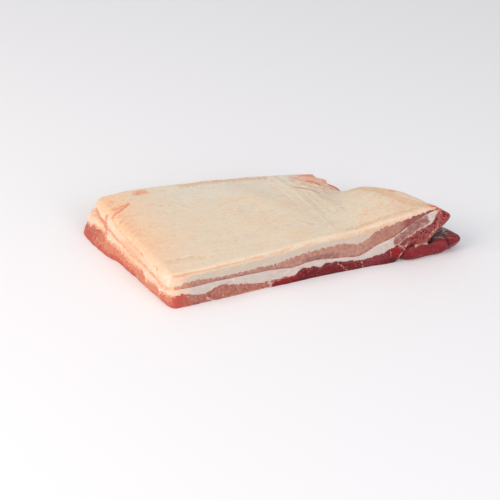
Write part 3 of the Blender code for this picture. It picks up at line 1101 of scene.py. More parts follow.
class ReliefTree(MeshTree):
    """Gives a cut or a skin its unevenness, where a mask allows it."""

    name = "flesh_relief"
    inputs = {
        "Broad size": ("Float", 14.0),
        "Broad depth": ("Float", 0.3),
        "Fine size": ("Float", 3.0),
        "Fine depth": ("Float", 0.1),
        "Seed": ("Float", 1.0),
    }

    def grow(self, tree: Tree, given: bpy.types.NodeOutputs) -> bpy.types.Node:
        """Moves the surface along its normal by a broad and a fine wave.

        Args:
            tree: The tree.
            given: Its inputs, by name.

        Returns:
            The node that gives the geometry.
        """
        place = add_node(tree, "GeometryNodeInputPosition")
        waves = []
        for part in ("Broad", "Fine"):
            per_size = {0: 1 / MM, 1: given[f"{part} size"]}
            scale = add_node(tree, "ShaderNodeMath", per_size, operation="DIVIDE")
            cloud = {"Vector": place, "W": given["Seed"], "Scale": scale, "Detail": 2.0, "Roughness": 0.5}
            noise = add_node(tree, "ShaderNodeTexNoise", cloud, noise_dimensions="4D")
            centred = add_node(tree, "ShaderNodeMath", {0: noise, 1: 0.5}, operation="SUBTRACT")
            depth = {0: centred, 1: given[f"{part} depth"]}
            waves.append(add_node(tree, "ShaderNodeMath", depth, operation="MULTIPLY"))
        total = add_node(tree, "ShaderNodeMath", dict(enumerate(waves)), operation="ADD")
        mask = add_node(tree, "GeometryNodeInputNamedAttribute", {"Name": "relief"}, data_type="FLOAT")
        masked = {0: total, 1: mask.outputs["Attribute"]}
        allowed = add_node(tree, "ShaderNodeMath", masked, operation="MULTIPLY")
        metres = add_node(tree, "ShaderNodeMath", {0: allowed, 1: 2 * MM}, operation="MULTIPLY")
        normal = add_node(tree, "GeometryNodeInputNormal")
        offset = add_node(tree, "ShaderNodeVectorMath", {0: normal, "Scale": metres}, operation="SCALE")
        return add_node(tree, "GeometryNodeSetPosition", {"Geometry": given["Geometry"], "Offset": offset})


class FleckTree(MeshTree):
    """Beds small flat flecks of fat in a surface of lean."""

    name = "fat_flecks"
    inputs = {
        "Flecks per square centimetre": ("Float", 2.0),
        "Smallest": ("Vector", (0.4, 0.2, 0.1)),
        "Largest": ("Vector", (1.4, 0.5, 0.2)),
        "Seed": ("Int", SEED),
    }
    most_turn = 0.6
    square_centimetres = 1e4

    def grow(self, tree: Tree, given: bpy.types.NodeOutputs) -> bpy.types.Node:
        """Scatters the flecks where the marbling mask is strong, each turned and sized by chance.

        Args:
            tree: The tree.
            given: Its inputs, by name.

        Returns:
            The node that gives the geometry.
        """
        seed = {"Seed": given["Seed"]}
        mask = add_node(tree, "GeometryNodeInputNamedAttribute", {"Name": "marbling"}, data_type="FLOAT")
        crowd = {0: given["Flecks per square centimetre"], 1: self.square_centimetres}
        per_metre = add_node(tree, "ShaderNodeMath", crowd, operation="MULTIPLY")
        masked = {0: per_metre, 1: mask.outputs["Attribute"]}
        density = add_node(tree, "ShaderNodeMath", masked, operation="MULTIPLY")
        spread = add_node(
            tree,
            "GeometryNodeDistributePointsOnFaces",
            {"Mesh": given["Geometry"], "Density": density, **seed},
            distribute_method="RANDOM",
        ).outputs
        limits = {2: -self.most_turn, 3: self.most_turn, **seed}
        turn = add_node(tree, "FunctionNodeRandomValue", limits, data_type="FLOAT").outputs[1]
        spin = add_node(tree, "FunctionNodeAxisAngleToRotation", {"Axis": (0.0, 0.0, 1.0), "Angle": turn})
        facing = {0: spread["Rotation"], 1: spin}
        sizes = {0: given["Smallest"], 1: given["Largest"], **seed}
        size = add_node(tree, "FunctionNodeRandomValue", sizes, data_type="FLOAT_VECTOR")
        grain = add_node(tree, "GeometryNodeMeshIcoSphere", {"Radius": 1.0, "Subdivisions": 2})
        laid = {
            "Points": spread["Points"],
            "Instance": add_node(tree, "GeometryNodeSetShadeSmooth", {0: grain}),
            "Rotation": add_node(tree, "FunctionNodeRotateRotation", facing, rotation_space="LOCAL"),
            "Scale": add_node(tree, "ShaderNodeVectorMath", {0: size, "Scale": MM}, operation="SCALE"),
        }
        return add_node(tree, "GeometryNodeInstanceOnPoints", laid)


@dataclass
class SlabLayer:
    """One layer of the slab as a dense closed piece, from its lower face to its upper one.

    Index counts the layers from the underside. Values for the sides are for the left, right,
    front and back cuts. An open face has no layer on it.
    """

    name: str
    node: str
    slot: str
    index: int
    bulge: float
    finish: Finish
    unevenness: Unevenness
    columns: int = 380
    rows: int = 150
    wall_rows: int = 12
    plain_columns: int = 60
    plain_rows: int = 30
    plain_inset: float = 4.0
    crowding: float = 0.4
    wall_crowding: float = 0.35
    side_bulges: Four = (0.9, 1.0, 0.5, 1.0)
    bulge_fullness: float = 0.8
    belly: Points = ((0, 0.3), (0.5, 0.4), (0.76, 1.6), (0.87, 4.6), (0.94, 5.4), (1, 4.0))
    belly_shape: Points = ((0, 0), (0.35, 0.35), (0.66, 1.0), (0.84, 0.55), (1, 0))
    creases: Four = (0.5, 0.5, 0.15, 0.5)
    crease_reach: float = 0.22
    side_reach: float = 14.0
    corner_blend: Pair = (1.4, 6.0)
    front_reach: float = 26.0
    relief_edge: float = 3.0
    left_relief: float = 1.2
    # Shape of the painted warm light on the cuts near the left end.
    warm_light: Pair = (1.15, 30.0)
    mid_cut: Pair = (-12.0, 26.0)
    top_reach: float = 2.2
    foot_reach: float = 1.5
    open_top: bool = False
    open_foot: bool = False
    side_grooves: Strokes = ()
    front_grooves: Strokes = ()
    blocks: list[Array] = field(init=False, default_factory=list, repr=False)
    faces: list[tuple[int, ...]] = field(init=False, default_factory=list, repr=False)
    sharp_rings: list[tuple[int, int]] = field(init=False, default_factory=list, repr=False)
    masks: dict[str, Array] = field(init=False, default_factory=dict, repr=False)
    points: Array = field(init=False, repr=False)
    outward: Array = field(init=False, repr=False)
    u: Array = field(init=False, repr=False)
    v: Array = field(init=False, repr=False)
    t: Array = field(init=False, repr=False)
    wall: Array = field(init=False, repr=False)
    below_top: Array = field(init=False, repr=False)
    above_foot: Array = field(init=False, repr=False)

    def side_share(self, u: Array, v: Array, values: Four) -> Array:
        """Blends a value for the left, right, front and back cuts at places near the edge.

        Args:
            u: Places along the slab.
            v: Places across it.
            values: The values for the four cuts.

        Returns:
            The blend at each place.
        """
        distances = (u * FORM.length, (1 - u) * FORM.length, v * FORM.width, (1 - v) * FORM.width)
        near = np.stack([nearness(distance, self.side_reach) for distance in distances])
        return np.tensordot(np.array(values), near, 1) / np.maximum(near.sum(axis=0), 1e-6)

    def wall_offset(self, t: Array, share: Array, u: Array, v: Array) -> Array:
        """How far the cut stands out from its plain form, and in at its creases.

        Args:
            t: The share of the layer's own height.
            share: The share of the whole slab's height.
            u: Places along the slab.
            v: Places across it.

        Returns:
            The offset along the outward direction.
        """
        bulge = self.bulge * self.side_share(u, v, self.side_bulges)
        swell = bulge * np.sin(math.pi * t) ** self.bulge_fullness
        depth = self.side_share(u, v, self.creases)
        fold = np.zeros_like(u)
        if not self.open_foot:
            fold = fold + nearness(t, self.crease_reach)
        if not self.open_top:
            fold = fold + nearness(1 - t, self.crease_reach)
        at_left = nearness(u * FORM.length, self.side_reach)
        return swell - depth * fold + at_left * curve(self.belly, v) * curve(self.belly_shape, share)

    def grid(self, dense: bool) -> tuple[Array, Array]:
        """U and v over a whole face, or over one that is coarse and stops short of the cut.

        Args:
            dense: Whether the grid covers the whole face.

        Returns:
            U and v at the grid's places.
        """
        if dense:
            along, across = spaced(self.columns, self.crowding), spaced(self.rows, self.crowding)
        else:
            inset_u, inset_v = self.plain_inset / FORM.length, self.plain_inset / FORM.width
            along = np.linspace(inset_u, 1 - inset_u, self.plain_columns)
            across = np.linspace(inset_v, 1 - inset_v, self.plain_rows)
        return FORM.round_corners(*np.meshgrid(along, across))

    def add_points(
        self, points: Array, u: Array, v: Array, t: float, outward: Array | None = None
    ) -> int:
        """Adds points to the layer.

        Args:
            points: The points, in millimetres.
            u: Their places along the slab.
            v: Their places across it.
            t: Their share of the layer's height.
            outward: The way out of the cut, for points of a wall.

        Returns:
            The first one's number.
        """
        first = sum(len(block) for block in self.blocks)
        wall = float(outward is not None)
        out = np.zeros_like(points) if outward is None else outward
        shares = np.full((len(points), 2), (t, wall))
        self.blocks.append(np.column_stack([points, out, u, v, shares]))
        return first

    def build(self) -> None:
        """Works out the layer's points and faces: its walls, and then its lower and upper face."""
        grid_u, grid_v = self.grid(dense=True)
        rim = tuple(np.array(ring_of(self.rows, self.columns)).T)
        u, v = grid_u[rim], grid_v[rim]
        heights = FORM.levels(u, v)
        middle = FORM.place(u, v, (heights[0] + heights[4]) / 2, heights)
        run = np.roll(middle, -1, axis=0) - np.roll(middle, 1, axis=0)
        outward = np.stack([run[:, 1], -run[:, 0], np.zeros(len(u))], axis=-1)
        outward /= np.linalg.norm(outward, axis=1)[:, None]
        low, high = heights[self.index], heights[self.index + 1]
        rings = []
        for t in spaced(self.wall_rows + 1, self.wall_crowding):
            z = low + t * (high - low)
            share = (z - heights[0]) / (heights[4] - heights[0])
            offset = self.wall_offset(np.full(len(u), t), share, u, v)
            ring = FORM.place(u, v, z, heights) + outward * offset[:, None]
            rings.append(self.add_points(ring, u, v, t, outward) + np.arange(len(u)))
        number = np.array(rings)
        self.faces += quads(np.hstack([number, number[:, :1]]))
        self.close(self.index, 0.0, number[0], middle)
        self.close(self.index + 1, 1.0, number[-1], middle)
        table = np.concatenate(self.blocks)
        self.points, self.outward = table[:, :3], table[:, 3:6]
        self.u, self.v, self.t, self.wall = table[:, 6:].T

    def close(self, level: int, t: float, ring: Array, middle: Array) -> None:
        """Closes the layer with one of its two faces.

        Args:
            level: Which of the slab's five levels the face lies on.
            t: 0 for the lower face, 1 for the upper one.
            ring: Point numbers of the wall's ring beside it.
            middle: That ring's places at the middle of the slab's height.
        """
        dense = self.open_top and t == 1.0
        u, v = self.grid(dense)
        heights = FORM.levels(u, v)
        face = FORM.place(u, v, heights[level], heights)
        rim = tuple(np.array(ring_of(*u.shape)).T)
        inner = (slice(1, -1),) * 2 if dense else (slice(None),) * 2
        first = self.add_points(face[inner].reshape(-1, 3), u[inner].ravel(), v[inner].ravel(), t)
        number = np.empty(u.shape, int)
        number[inner] = first + np.arange(u[inner].size).reshape(u[inner].shape)
        if dense:
            number[rim] = ring
        else:
            own = number[rim].tolist()
            self.faces += bridge(ring.tolist(), round_share(middle), own, round_share(face[rim]))
            self.sharp_rings.append((int(ring[0]), int(ring[-1]) + 1))
        self.faces += quads(number)

    def drawn(self, strokes: Strokes, plane: Plane = Plane.FRONT) -> Array:
        """The strength of some strokes at each of the layer's points."""
        return strokes_over(strokes, self.points, plane)

    def side_only(self) -> Array:
        """1 on the left cut, 0 from the corner on."""
        return self.wall * ease(self.corner_blend[0] - self.u * FORM.length / self.corner_blend[1])

    def front_only(self) -> Array:
        """1 on the front cut, 0 from the corners on."""
        return self.wall * ease(self.corner_blend[0] - self.v * FORM.width / self.corner_blend[1])

    def by_front(self) -> Array:
        """1 by the front cut, falling to 0 inwards, so that a stroke on it stays off the back."""
        return nearness(self.v * FORM.width, self.front_reach) ** 0.5

    def shape(self) -> None:
        """Presses the grooves into the cuts."""
        pressed = self.side_only() * self.drawn(self.side_grooves, Plane.SIDE)
        pressed = pressed + self.front_only() * self.drawn(self.front_grooves)
        self.points = self.points + self.outward * pressed[:, None]

    def paint(self) -> None:
        """Fills the masks that the finish reads. Each kind of layer adds its own."""
        heights = FORM.levels(self.u, self.v)
        thickness = heights[self.index + 1] - heights[self.index]
        on_wall, left = self.wall > 0.5, self.side_only()
        self.below_top = np.where(on_wall, (1 - self.t) * thickness, 0)
        self.above_foot = np.where(on_wall, self.t * thickness, 0)
        soft = np.sin(math.pi * np.clip(self.t, 0, 1)) ** 0.5
        on_top = np.zeros_like(soft)
        if self.open_top:
            on_top = ease(FORM.edge_distance(self.u, self.v) / self.relief_edge)
        relief = np.where(on_wall, soft, on_top * (self.t > 0.5))
        self.masks = {
            "relief": relief * (1 + self.left_relief * left),
            "cut": self.wall,
            # Left cut: the finishes lay lighter, warmer copies of their colours here, painted light from the
            # left over the cut's own tint.
            "left": left,
            # Painted warm light on the cuts near the left end, over some of the fat's own peach.
            "warm_light": self.wall * ease(self.warm_light[0] - self.u * FORM.length / self.warm_light[1]),
            # Painted highlight down the front left corner of the cut.
            "corner": self.wall * self.drawn((CORNER_LIGHT,)),
            "mid_cut": left * bell(self.points[:, 1], *self.mid_cut),
            "groove": -np.minimum(left * self.drawn(self.side_grooves, Plane.SIDE), 0),
            "from_above": self.wall * np.exp(-self.below_top / self.top_reach),
            "from_below": self.wall * np.exp(-self.above_foot / self.foot_reach),
        }

    def make(self, relief_tree: ReliefTree) -> Item:
        """Builds, shapes, paints and dresses the piece, and ties it to the frame.

        Args:
            relief_tree: The tree that gives the surface its unevenness.

        Returns:
            The finished piece.
        """
        self.build()
        self.shape()
        self.paint()
        draft = write_mesh(f"{self.name}_draft", self.points, self.faces, self.masks)
        self.mark_sharp(draft.data)
        piece = relief_tree.run(draft, self.unevenness.values(self.finish), self.name)
        return settle(piece, self.node)

    def mark_sharp(self, mesh: bpy.types.Mesh) -> None:
        """Keeps the shading of a cut apart from that of a hidden face.

        Args:
            mesh: The layer's mesh.
        """
        ends = np.empty(len(mesh.edges) * 2, np.int32)
        mesh.edges.foreach_get("vertices", ends)
        ends = ends.reshape(-1, 2)
        sharp = np.zeros(len(ends), bool)
        for start, stop in self.sharp_rings:
            sharp |= ((ends >= start) & (ends < stop)).all(axis=1)
        layer = mesh.attributes.new("sharp_edge", "BOOLEAN", "EDGE")
        layer.data.foreach_set("value", sharp)


@dataclass
class RindCap(SlabLayer):
    """The rind and the fat under it.

    Pairs of numbers for a mask are where it starts and over what length it comes in. Those of
    the folds are their height and their pitch, and the origins keep the places that their
    random waves are read at above zero.
    """

    wrinkles: Strokes = (
        Stroke(((30, 60), (32, 46), (38, 20), (39, -8), (37, -39), (37, -72)), 2.2, 0.55),
        Stroke(((37, 58), (40, 44), (46, 18), (47, -10), (45, -40)), 2.4, -0.6),
        Stroke(((46, 55), (53, 36), (57, 10), (60, -14), (57, -42)), 2.0, 0.4),
        Stroke(((55, 50), (61, 30), (66, 6), (68, -16), (67, -44)), 2.2, -0.5),
        Stroke(((64, 46), (70, 26), (75, 4)), 1.8, 0.4),
        Stroke(((20, 40), (25, 15), (26, -12), (22, -34)), 2.2, -0.3),
        Stroke(((-147, -61), (-130, -62), (-112, -66)), 3.2, -0.8),
        Stroke(((-150, -68), (-132, -70), (-118, -73)), 3.0, 0.35),
        Stroke(((44, 30), (57, 23), (72, 17)), 1.2, -0.5),
        Stroke(((7, -27), (10, -45), (19, -58), (32, -61)), 2.0, 0.3),
        Stroke(((58, -84), (63, -80), (68, -84)), 1.6, -0.9),
        Stroke(((104, -20), (113, -40), (122, -62), (134, -80)), 1.8, -0.35),
        Stroke(((-164, 63), (-152, 54), (-143, 60)), 1.6, -0.3),
    )
    blotches: Strokes = (
        Stroke(((-129, 80), (-124, 81), (-119, 82)), 6.0, 0.85),
        Stroke(((-170, 45), (-158, 52), (-145, 62)), 2.0, 1.1),
        Stroke(((-164, 56), (-146, 62)), 3.6, 0.75),
        Stroke(((-167, 70), (-160, 74)), 5.0, 0.5),
        Stroke(((-112, 46), (-104, 44)), 4.0, 0.45),
        Stroke(((66, 54), (78, 46)), 6.0, 1.1),
        Stroke(((61, 39), (73, 31)), 3.6, 0.75),
        Stroke(((78, 52), (85, 36), (89, 24)), 4.0, 0.75),
        Stroke(((76, -64), (100, -58), (124, -68)), 9.0, 0.3),
        Stroke(((120, -41), (125, -46)), 1.8, 0.9),
        Stroke(((149, -86), (154, -88), (160, -86)), 3.4, 1.9),
        Stroke(((63, -18), (66, -30)), 3.0, 0.3),
        Stroke(((128, -62), (136, -70)), 2.0, 0.5),
        Stroke(((-20, 12), (-8, 10)), 3.5, 0.35),
        Stroke(((12, -44), (20, -54)), 3.5, 0.3),
    )
    wash: Strokes = (
        Stroke(((54, 48), (66, 42), (78, 32)), 13.0, 1.0),
        Stroke(((50, 34), (62, 26), (76, 14)), 6.5, 0.6),
        Stroke(((30, -6), (38, -22)), 7.0, 0.3),
    )
    scars: Strokes = (
        Stroke(((40.8, 31.4), (49, 23.4), (57, 18), (65.7, 13.6)), 1.2, 1.0),
        Stroke(((50, 33), (60, 28), (70, 22)), 1.2, 0.45),
        Stroke(((62, 37), (67, 34), (74, 29)), 1.5, 1.0),
        Stroke(((89, 32), (94, 28), (96, 21)), 3.8, 1.15),
    )
    tan_bands: Strokes = (
        Stroke(((-74, 80), (-42, 75), (-8, 69), (20, 62)), 5.0, 0.9),
        Stroke(((110, -26), (116, -44), (124, -62), (134, -77), (146, -86)), 6.5, 0.9),
        Stroke(((-147, -60), (-130, -61), (-110, -65)), 3.0, 0.6),
        Stroke(((100, -6), (108, -22)), 7.0, 0.7),
        Stroke(((84, -70), (104, -66), (122, -72)), 8.0, 0.2),
        Stroke(((50, -80), (90, -80), (130, -84)), 3.6, 0.75),
    )
    # Greyer marks in the hollows of the rind's wrinkles: painted shade.
    hollow_shade_marks: Strokes = (
        Stroke(((41, 50), (48, 24), (50, -6), (48, -36)), 5.0, 0.6),
        Stroke(((58, 38), (66, 8), (68, -20), (66, -46)), 6.0, 0.7),
        Stroke(((78, -40), (92, -34)), 8.0, 0.35),
        Stroke(((24, -30), (32, -52), (40, -62)), 7.0, 0.5),
        Stroke(((-40, -10), (-20, -8)), 12.0, 0.2),
    )
    side_grooves: Strokes = (
        Stroke(
            ((56, 33), (51, 32.6), (36, 32.1), (17, 31.5), (1, 30.6), (-12.5, 30.9), (-29, 31.3)),
            0.9,
            -0.75,
        ),
        Stroke(((-28, 31.8), (-33, 30.4)), 1.2, -1.5),
        Stroke(FORKED_CREASE, 1.7, -1.7),
        Stroke(UPPER_LEG, 1.5, -1.5),
        Stroke(LONG_SEAM, 1.1, -0.8),
        Stroke(((30, 28), (14, 27), (-4, 27.4)), 1.0, -0.4),
        Stroke(((-22, 27.5), (-40, 26.4), (-52, 27)), 1.0, -0.5),
        Stroke(((-57, 36), (-64, 32.6)), 1.0, -1.4),
        Stroke(((44, 29.5), (20, 29.6), (-6, 29.4)), 1.6, 0.5),
    )
    front_grooves: Strokes = (
        Stroke(((61, 40), (63, 47)), 1.4, -1.0),
        Stroke(((-150, 31), (-120, 32), (-80, 33), (-40, 35)), 1.6, -0.25),
    )
    skin_depth: Points = ((-160, 0.9), (-120, 1.3), (0, 1.7), (60, 2.4), (120, 2.2))
    skin_strength: Points = (
        (-160, 1.2), (-130, 0.95), (-60, 0.75), (-20, 0.42), (20, 0.36),
        (60, 0.6), (90, 0.7), (115, 0.5), (150, 0.1),
    )
    skin_spread: Points = ((-160, 1.4), (-40, 1.6), (10, 2.1), (60, 2.9), (150, 2.0))
    skin_under: float = 8.0
    rim_reach: float = 3.0
    grey_from: Pair = (-120.0, 90.0)
    peach_reach: float = 100.0
    peach_front: Pair = (-72.0, 60.0)
    pale_back: Pair = (10.0, 50.0)
    pale_right: Pair = (-130.0, 70.0)
    hump: Pair = (70.0, 50.0)
    gather_middle: Pair = (52.0, 14.0)
    gather_size: Pair = (30.0, 52.0)
    gather_slant: float = 0.10
    gather_bow: Pair = (3.5, 21.0)
    folds: Pair = (0.42, 5.2)
    fine_folds: Pair = (0.26, 2.9)
    fold_breaks: float = 16.0
    fold_origins: Pair = (120.0, 150.0)
    fine_slant: float = 0.08
    rib_start: Pair = (-168.0, -6.0)
    rib_run: Pair = (16.0, 8.5)
    rib_width: float = 0.95
    rib_pitch: float = 3.3
    rib_count: int = 20
    rib_depth: float = 0.25
    edge_fade: float = 4.0

    def ribs(self) -> Strokes:
        """Short ribs side by side where the rind is gathered by the left cut, no two alike.

        Returns:
            The ribs.
        """
        made = []
        for i in range(self.rib_count):
            y = self.rib_start[1] + i * self.rib_pitch
            x = self.rib_start[0] + 1.4 * math.sin(2.3 * i)
            run = 0.75 + 0.35 * math.sin(1.7 * i)
            end = (x + self.rib_run[0] * run, y + self.rib_run[1] * run)
            made.append(Stroke(((x, y), end), self.rib_width, 0.65 + 0.25 * math.sin(4.1 * i)))
        return tuple(made)

    def gathers(self) -> Array:
        """Height of fine wrinkles side by side, where the rind is gathered beside the dip.

        Returns:
            The height at each of the layer's points.
        """
        middle_x, middle_y = self.gather_middle
        dx, dy = self.points[:, 0] - middle_x, self.points[:, 1] - middle_y
        along = dx * FORM.cut_along[0] + dy * FORM.cut_along[1]
        across = dx * FORM.cut_across[0] + dy * FORM.cut_across[1]
        bow, turn = self.gather_bow
        bend = across + bow * np.sin(along / turn) + self.gather_slant * along + self.fold_origins[0]
        broad = self.folds[0] * drift(bend, self.folds[1], GATHER_SEED)
        slanted = bend + self.fine_slant * along
        fine = self.fine_folds[0] * drift(slanted, self.fine_folds[1], GATHER_SEED + 1)
        inside = np.exp(-((across / self.gather_size[0]) ** 2) - (along / self.gather_size[1]) ** 2)
        breaks = 0.75 + 0.5 * drift(along + self.fold_origins[1], self.fold_breaks, GATHER_SEED + 2)
        return (broad + fine) * inside * breaks

    def shape(self) -> None:
        """Presses wrinkles and ribs into the rind and grooves into the fat."""
        super().shape()
        top = (self.wall < 0.5) & (self.t > 0.5)
        height = self.drawn(self.wrinkles, Plane.TOP)
        height = height + self.rib_depth * self.drawn(self.ribs(), Plane.TOP)
        height = height + self.gathers()
        fade = ease(FORM.edge_distance(self.u, self.v) / self.edge_fade)
        self.points[:, 2] += np.where(top, height * fade, 0)

    def paint(self) -> None:
        """Adds the rind's blotches and tan edges, painted shade in its hollows, and the skin's edge in the
        cut.
        """
        super().paint()
        x, y = self.points[:, 0], self.points[:, 1]
        top = 1 - self.wall
        on_skin = np.maximum(top, self.wall * np.exp(-self.below_top / self.rim_reach))
        for mask, where, strokes in (
            ("blush", on_skin, self.blotches),
            ("wash", on_skin, self.wash),
            ("scar", on_skin, self.scars),
            ("tan", on_skin, self.tan_bands),
            # Painted shade in the rind's hollows.
            ("hollow_shade", top, self.hollow_shade_marks),
            ("rib", top, self.ribs()),
        ):
            self.masks[mask] = where * self.drawn(strokes, Plane.TOP)
        self.masks["skin"] = np.where(self.wall > 0.5, 1 - self.below_top / self.skin_under, 1.0)
        line = bell(self.below_top, curve(self.skin_depth, x), curve(self.skin_spread, x)) * self.wall
        off_left = 1 - ease(self.side_only() * 1.5 - 0.5)
        self.masks["skin_line"] = line * curve(self.skin_strength, x) * off_left
        self.masks["grey_skin"] = ramp(x, *self.grey_from)
        by_back = 0.5 + 0.5 * ramp(y, *self.peach_front)
        # Peach near the left end: partly the rind's own tint, partly painted warm light from the left.
        self.masks["peach"] = nearness(self.u * FORM.length, self.peach_reach) * by_back
        self.masks["pale_back"] = top * ramp(y, *self.pale_back) * ramp(x, *self.pale_right)
        self.masks["hump"] = ramp(x, *self.hump)


@dataclass
class PaleLean(SlabLayer):
    """The thin pinkish-brown lean under the fat cap."""

    side_grooves: Strokes = (
        Stroke(LONG_SEAM, 1.2, -0.95),
        Stroke(FORKED_CREASE, 1.7, -1.6),
        Stroke(UPPER_LEG, 1.5, -1.4),
    )
    # Darker band along the foot of the pale lean on the front: painted shade with some of the lean's own
    # purplish tone.
    foot_shade_strokes: Strokes = (Stroke(((-4, 22), (14, 23.5), (36, 21.5)), 3.0, 1.0),)
    front_grooves: Strokes = (
        Stroke(((50, 34), (52, 29)), 0.8, -0.7),
        Stroke(((-20, 31), (-19, 24)), 0.8, -0.4),
    )
    red_end: Pair = (-160.0, 34.0)
    tip: Pair = (102.0, 18.0)
    rich: Pair = (62.0, 20.0)
    skin_end: Pair = (145.0, 8.0)
    bundle_reach: float = 3.0

    def paint(self) -> None:
        """Adds the redder left end and the darker tip."""
        super().paint()
        x = self.points[:, 0]
        start, run = self.red_end
        self.masks["red_end"] = self.wall * np.clip(1 - (x - start) / run, 0, 1)
        self.masks["tip"] = self.wall * ramp(x, *self.tip)
        self.masks["rich"] = self.wall * ramp(x, *self.rich)
        # Painted shade along the foot of the pale lean, with some of its own purplish tone.
        self.masks["foot_band_shade"] = self.by_front() * self.drawn(self.foot_shade_strokes)
        self.masks["skin_end"] = self.wall * ramp(x, *self.skin_end)
        bundles = FORM.bundle_lines(3, self.u, self.v)
        self.masks["bundles"] = bundles * np.exp(-self.below_top / self.bundle_reach)
        self.masks["marbling"] = self.wall * np.sin(math.pi * self.t) * 0.5 * (1 - self.masks["left"])


@dataclass
class FatSeam(SlabLayer):
    """The white fat between the two leans, with a lens of muscle at its thick right end."""

    side_grooves: Strokes = (
        Stroke(LONG_SEAM, 1.1, -0.85),
        Stroke(FORKED_CREASE, 1.7, -1.4),
        Stroke(UPPER_LEG, 1.5, -1.2),
    )
    lens: Strokes = (
        Stroke(((106, 26), (111, 30), (118, 35), (126, 39), (134, 42.2), (140, 44)), 5.0, 1.0),
        Stroke(((120, 40), (131, 45), (140, 47.5)), 4.0, 0.85),
    )
    front_reach: float = 20.0
    skin_end: Pair = (150.0, 7.0)

    def paint(self) -> None:
        """Adds the lens of muscle."""
        super().paint()
        self.masks["lens"] = self.wall * self.by_front() * self.drawn(self.lens)
        self.masks["skin_end"] = self.wall * ramp(self.points[:, 0], *self.skin_end)


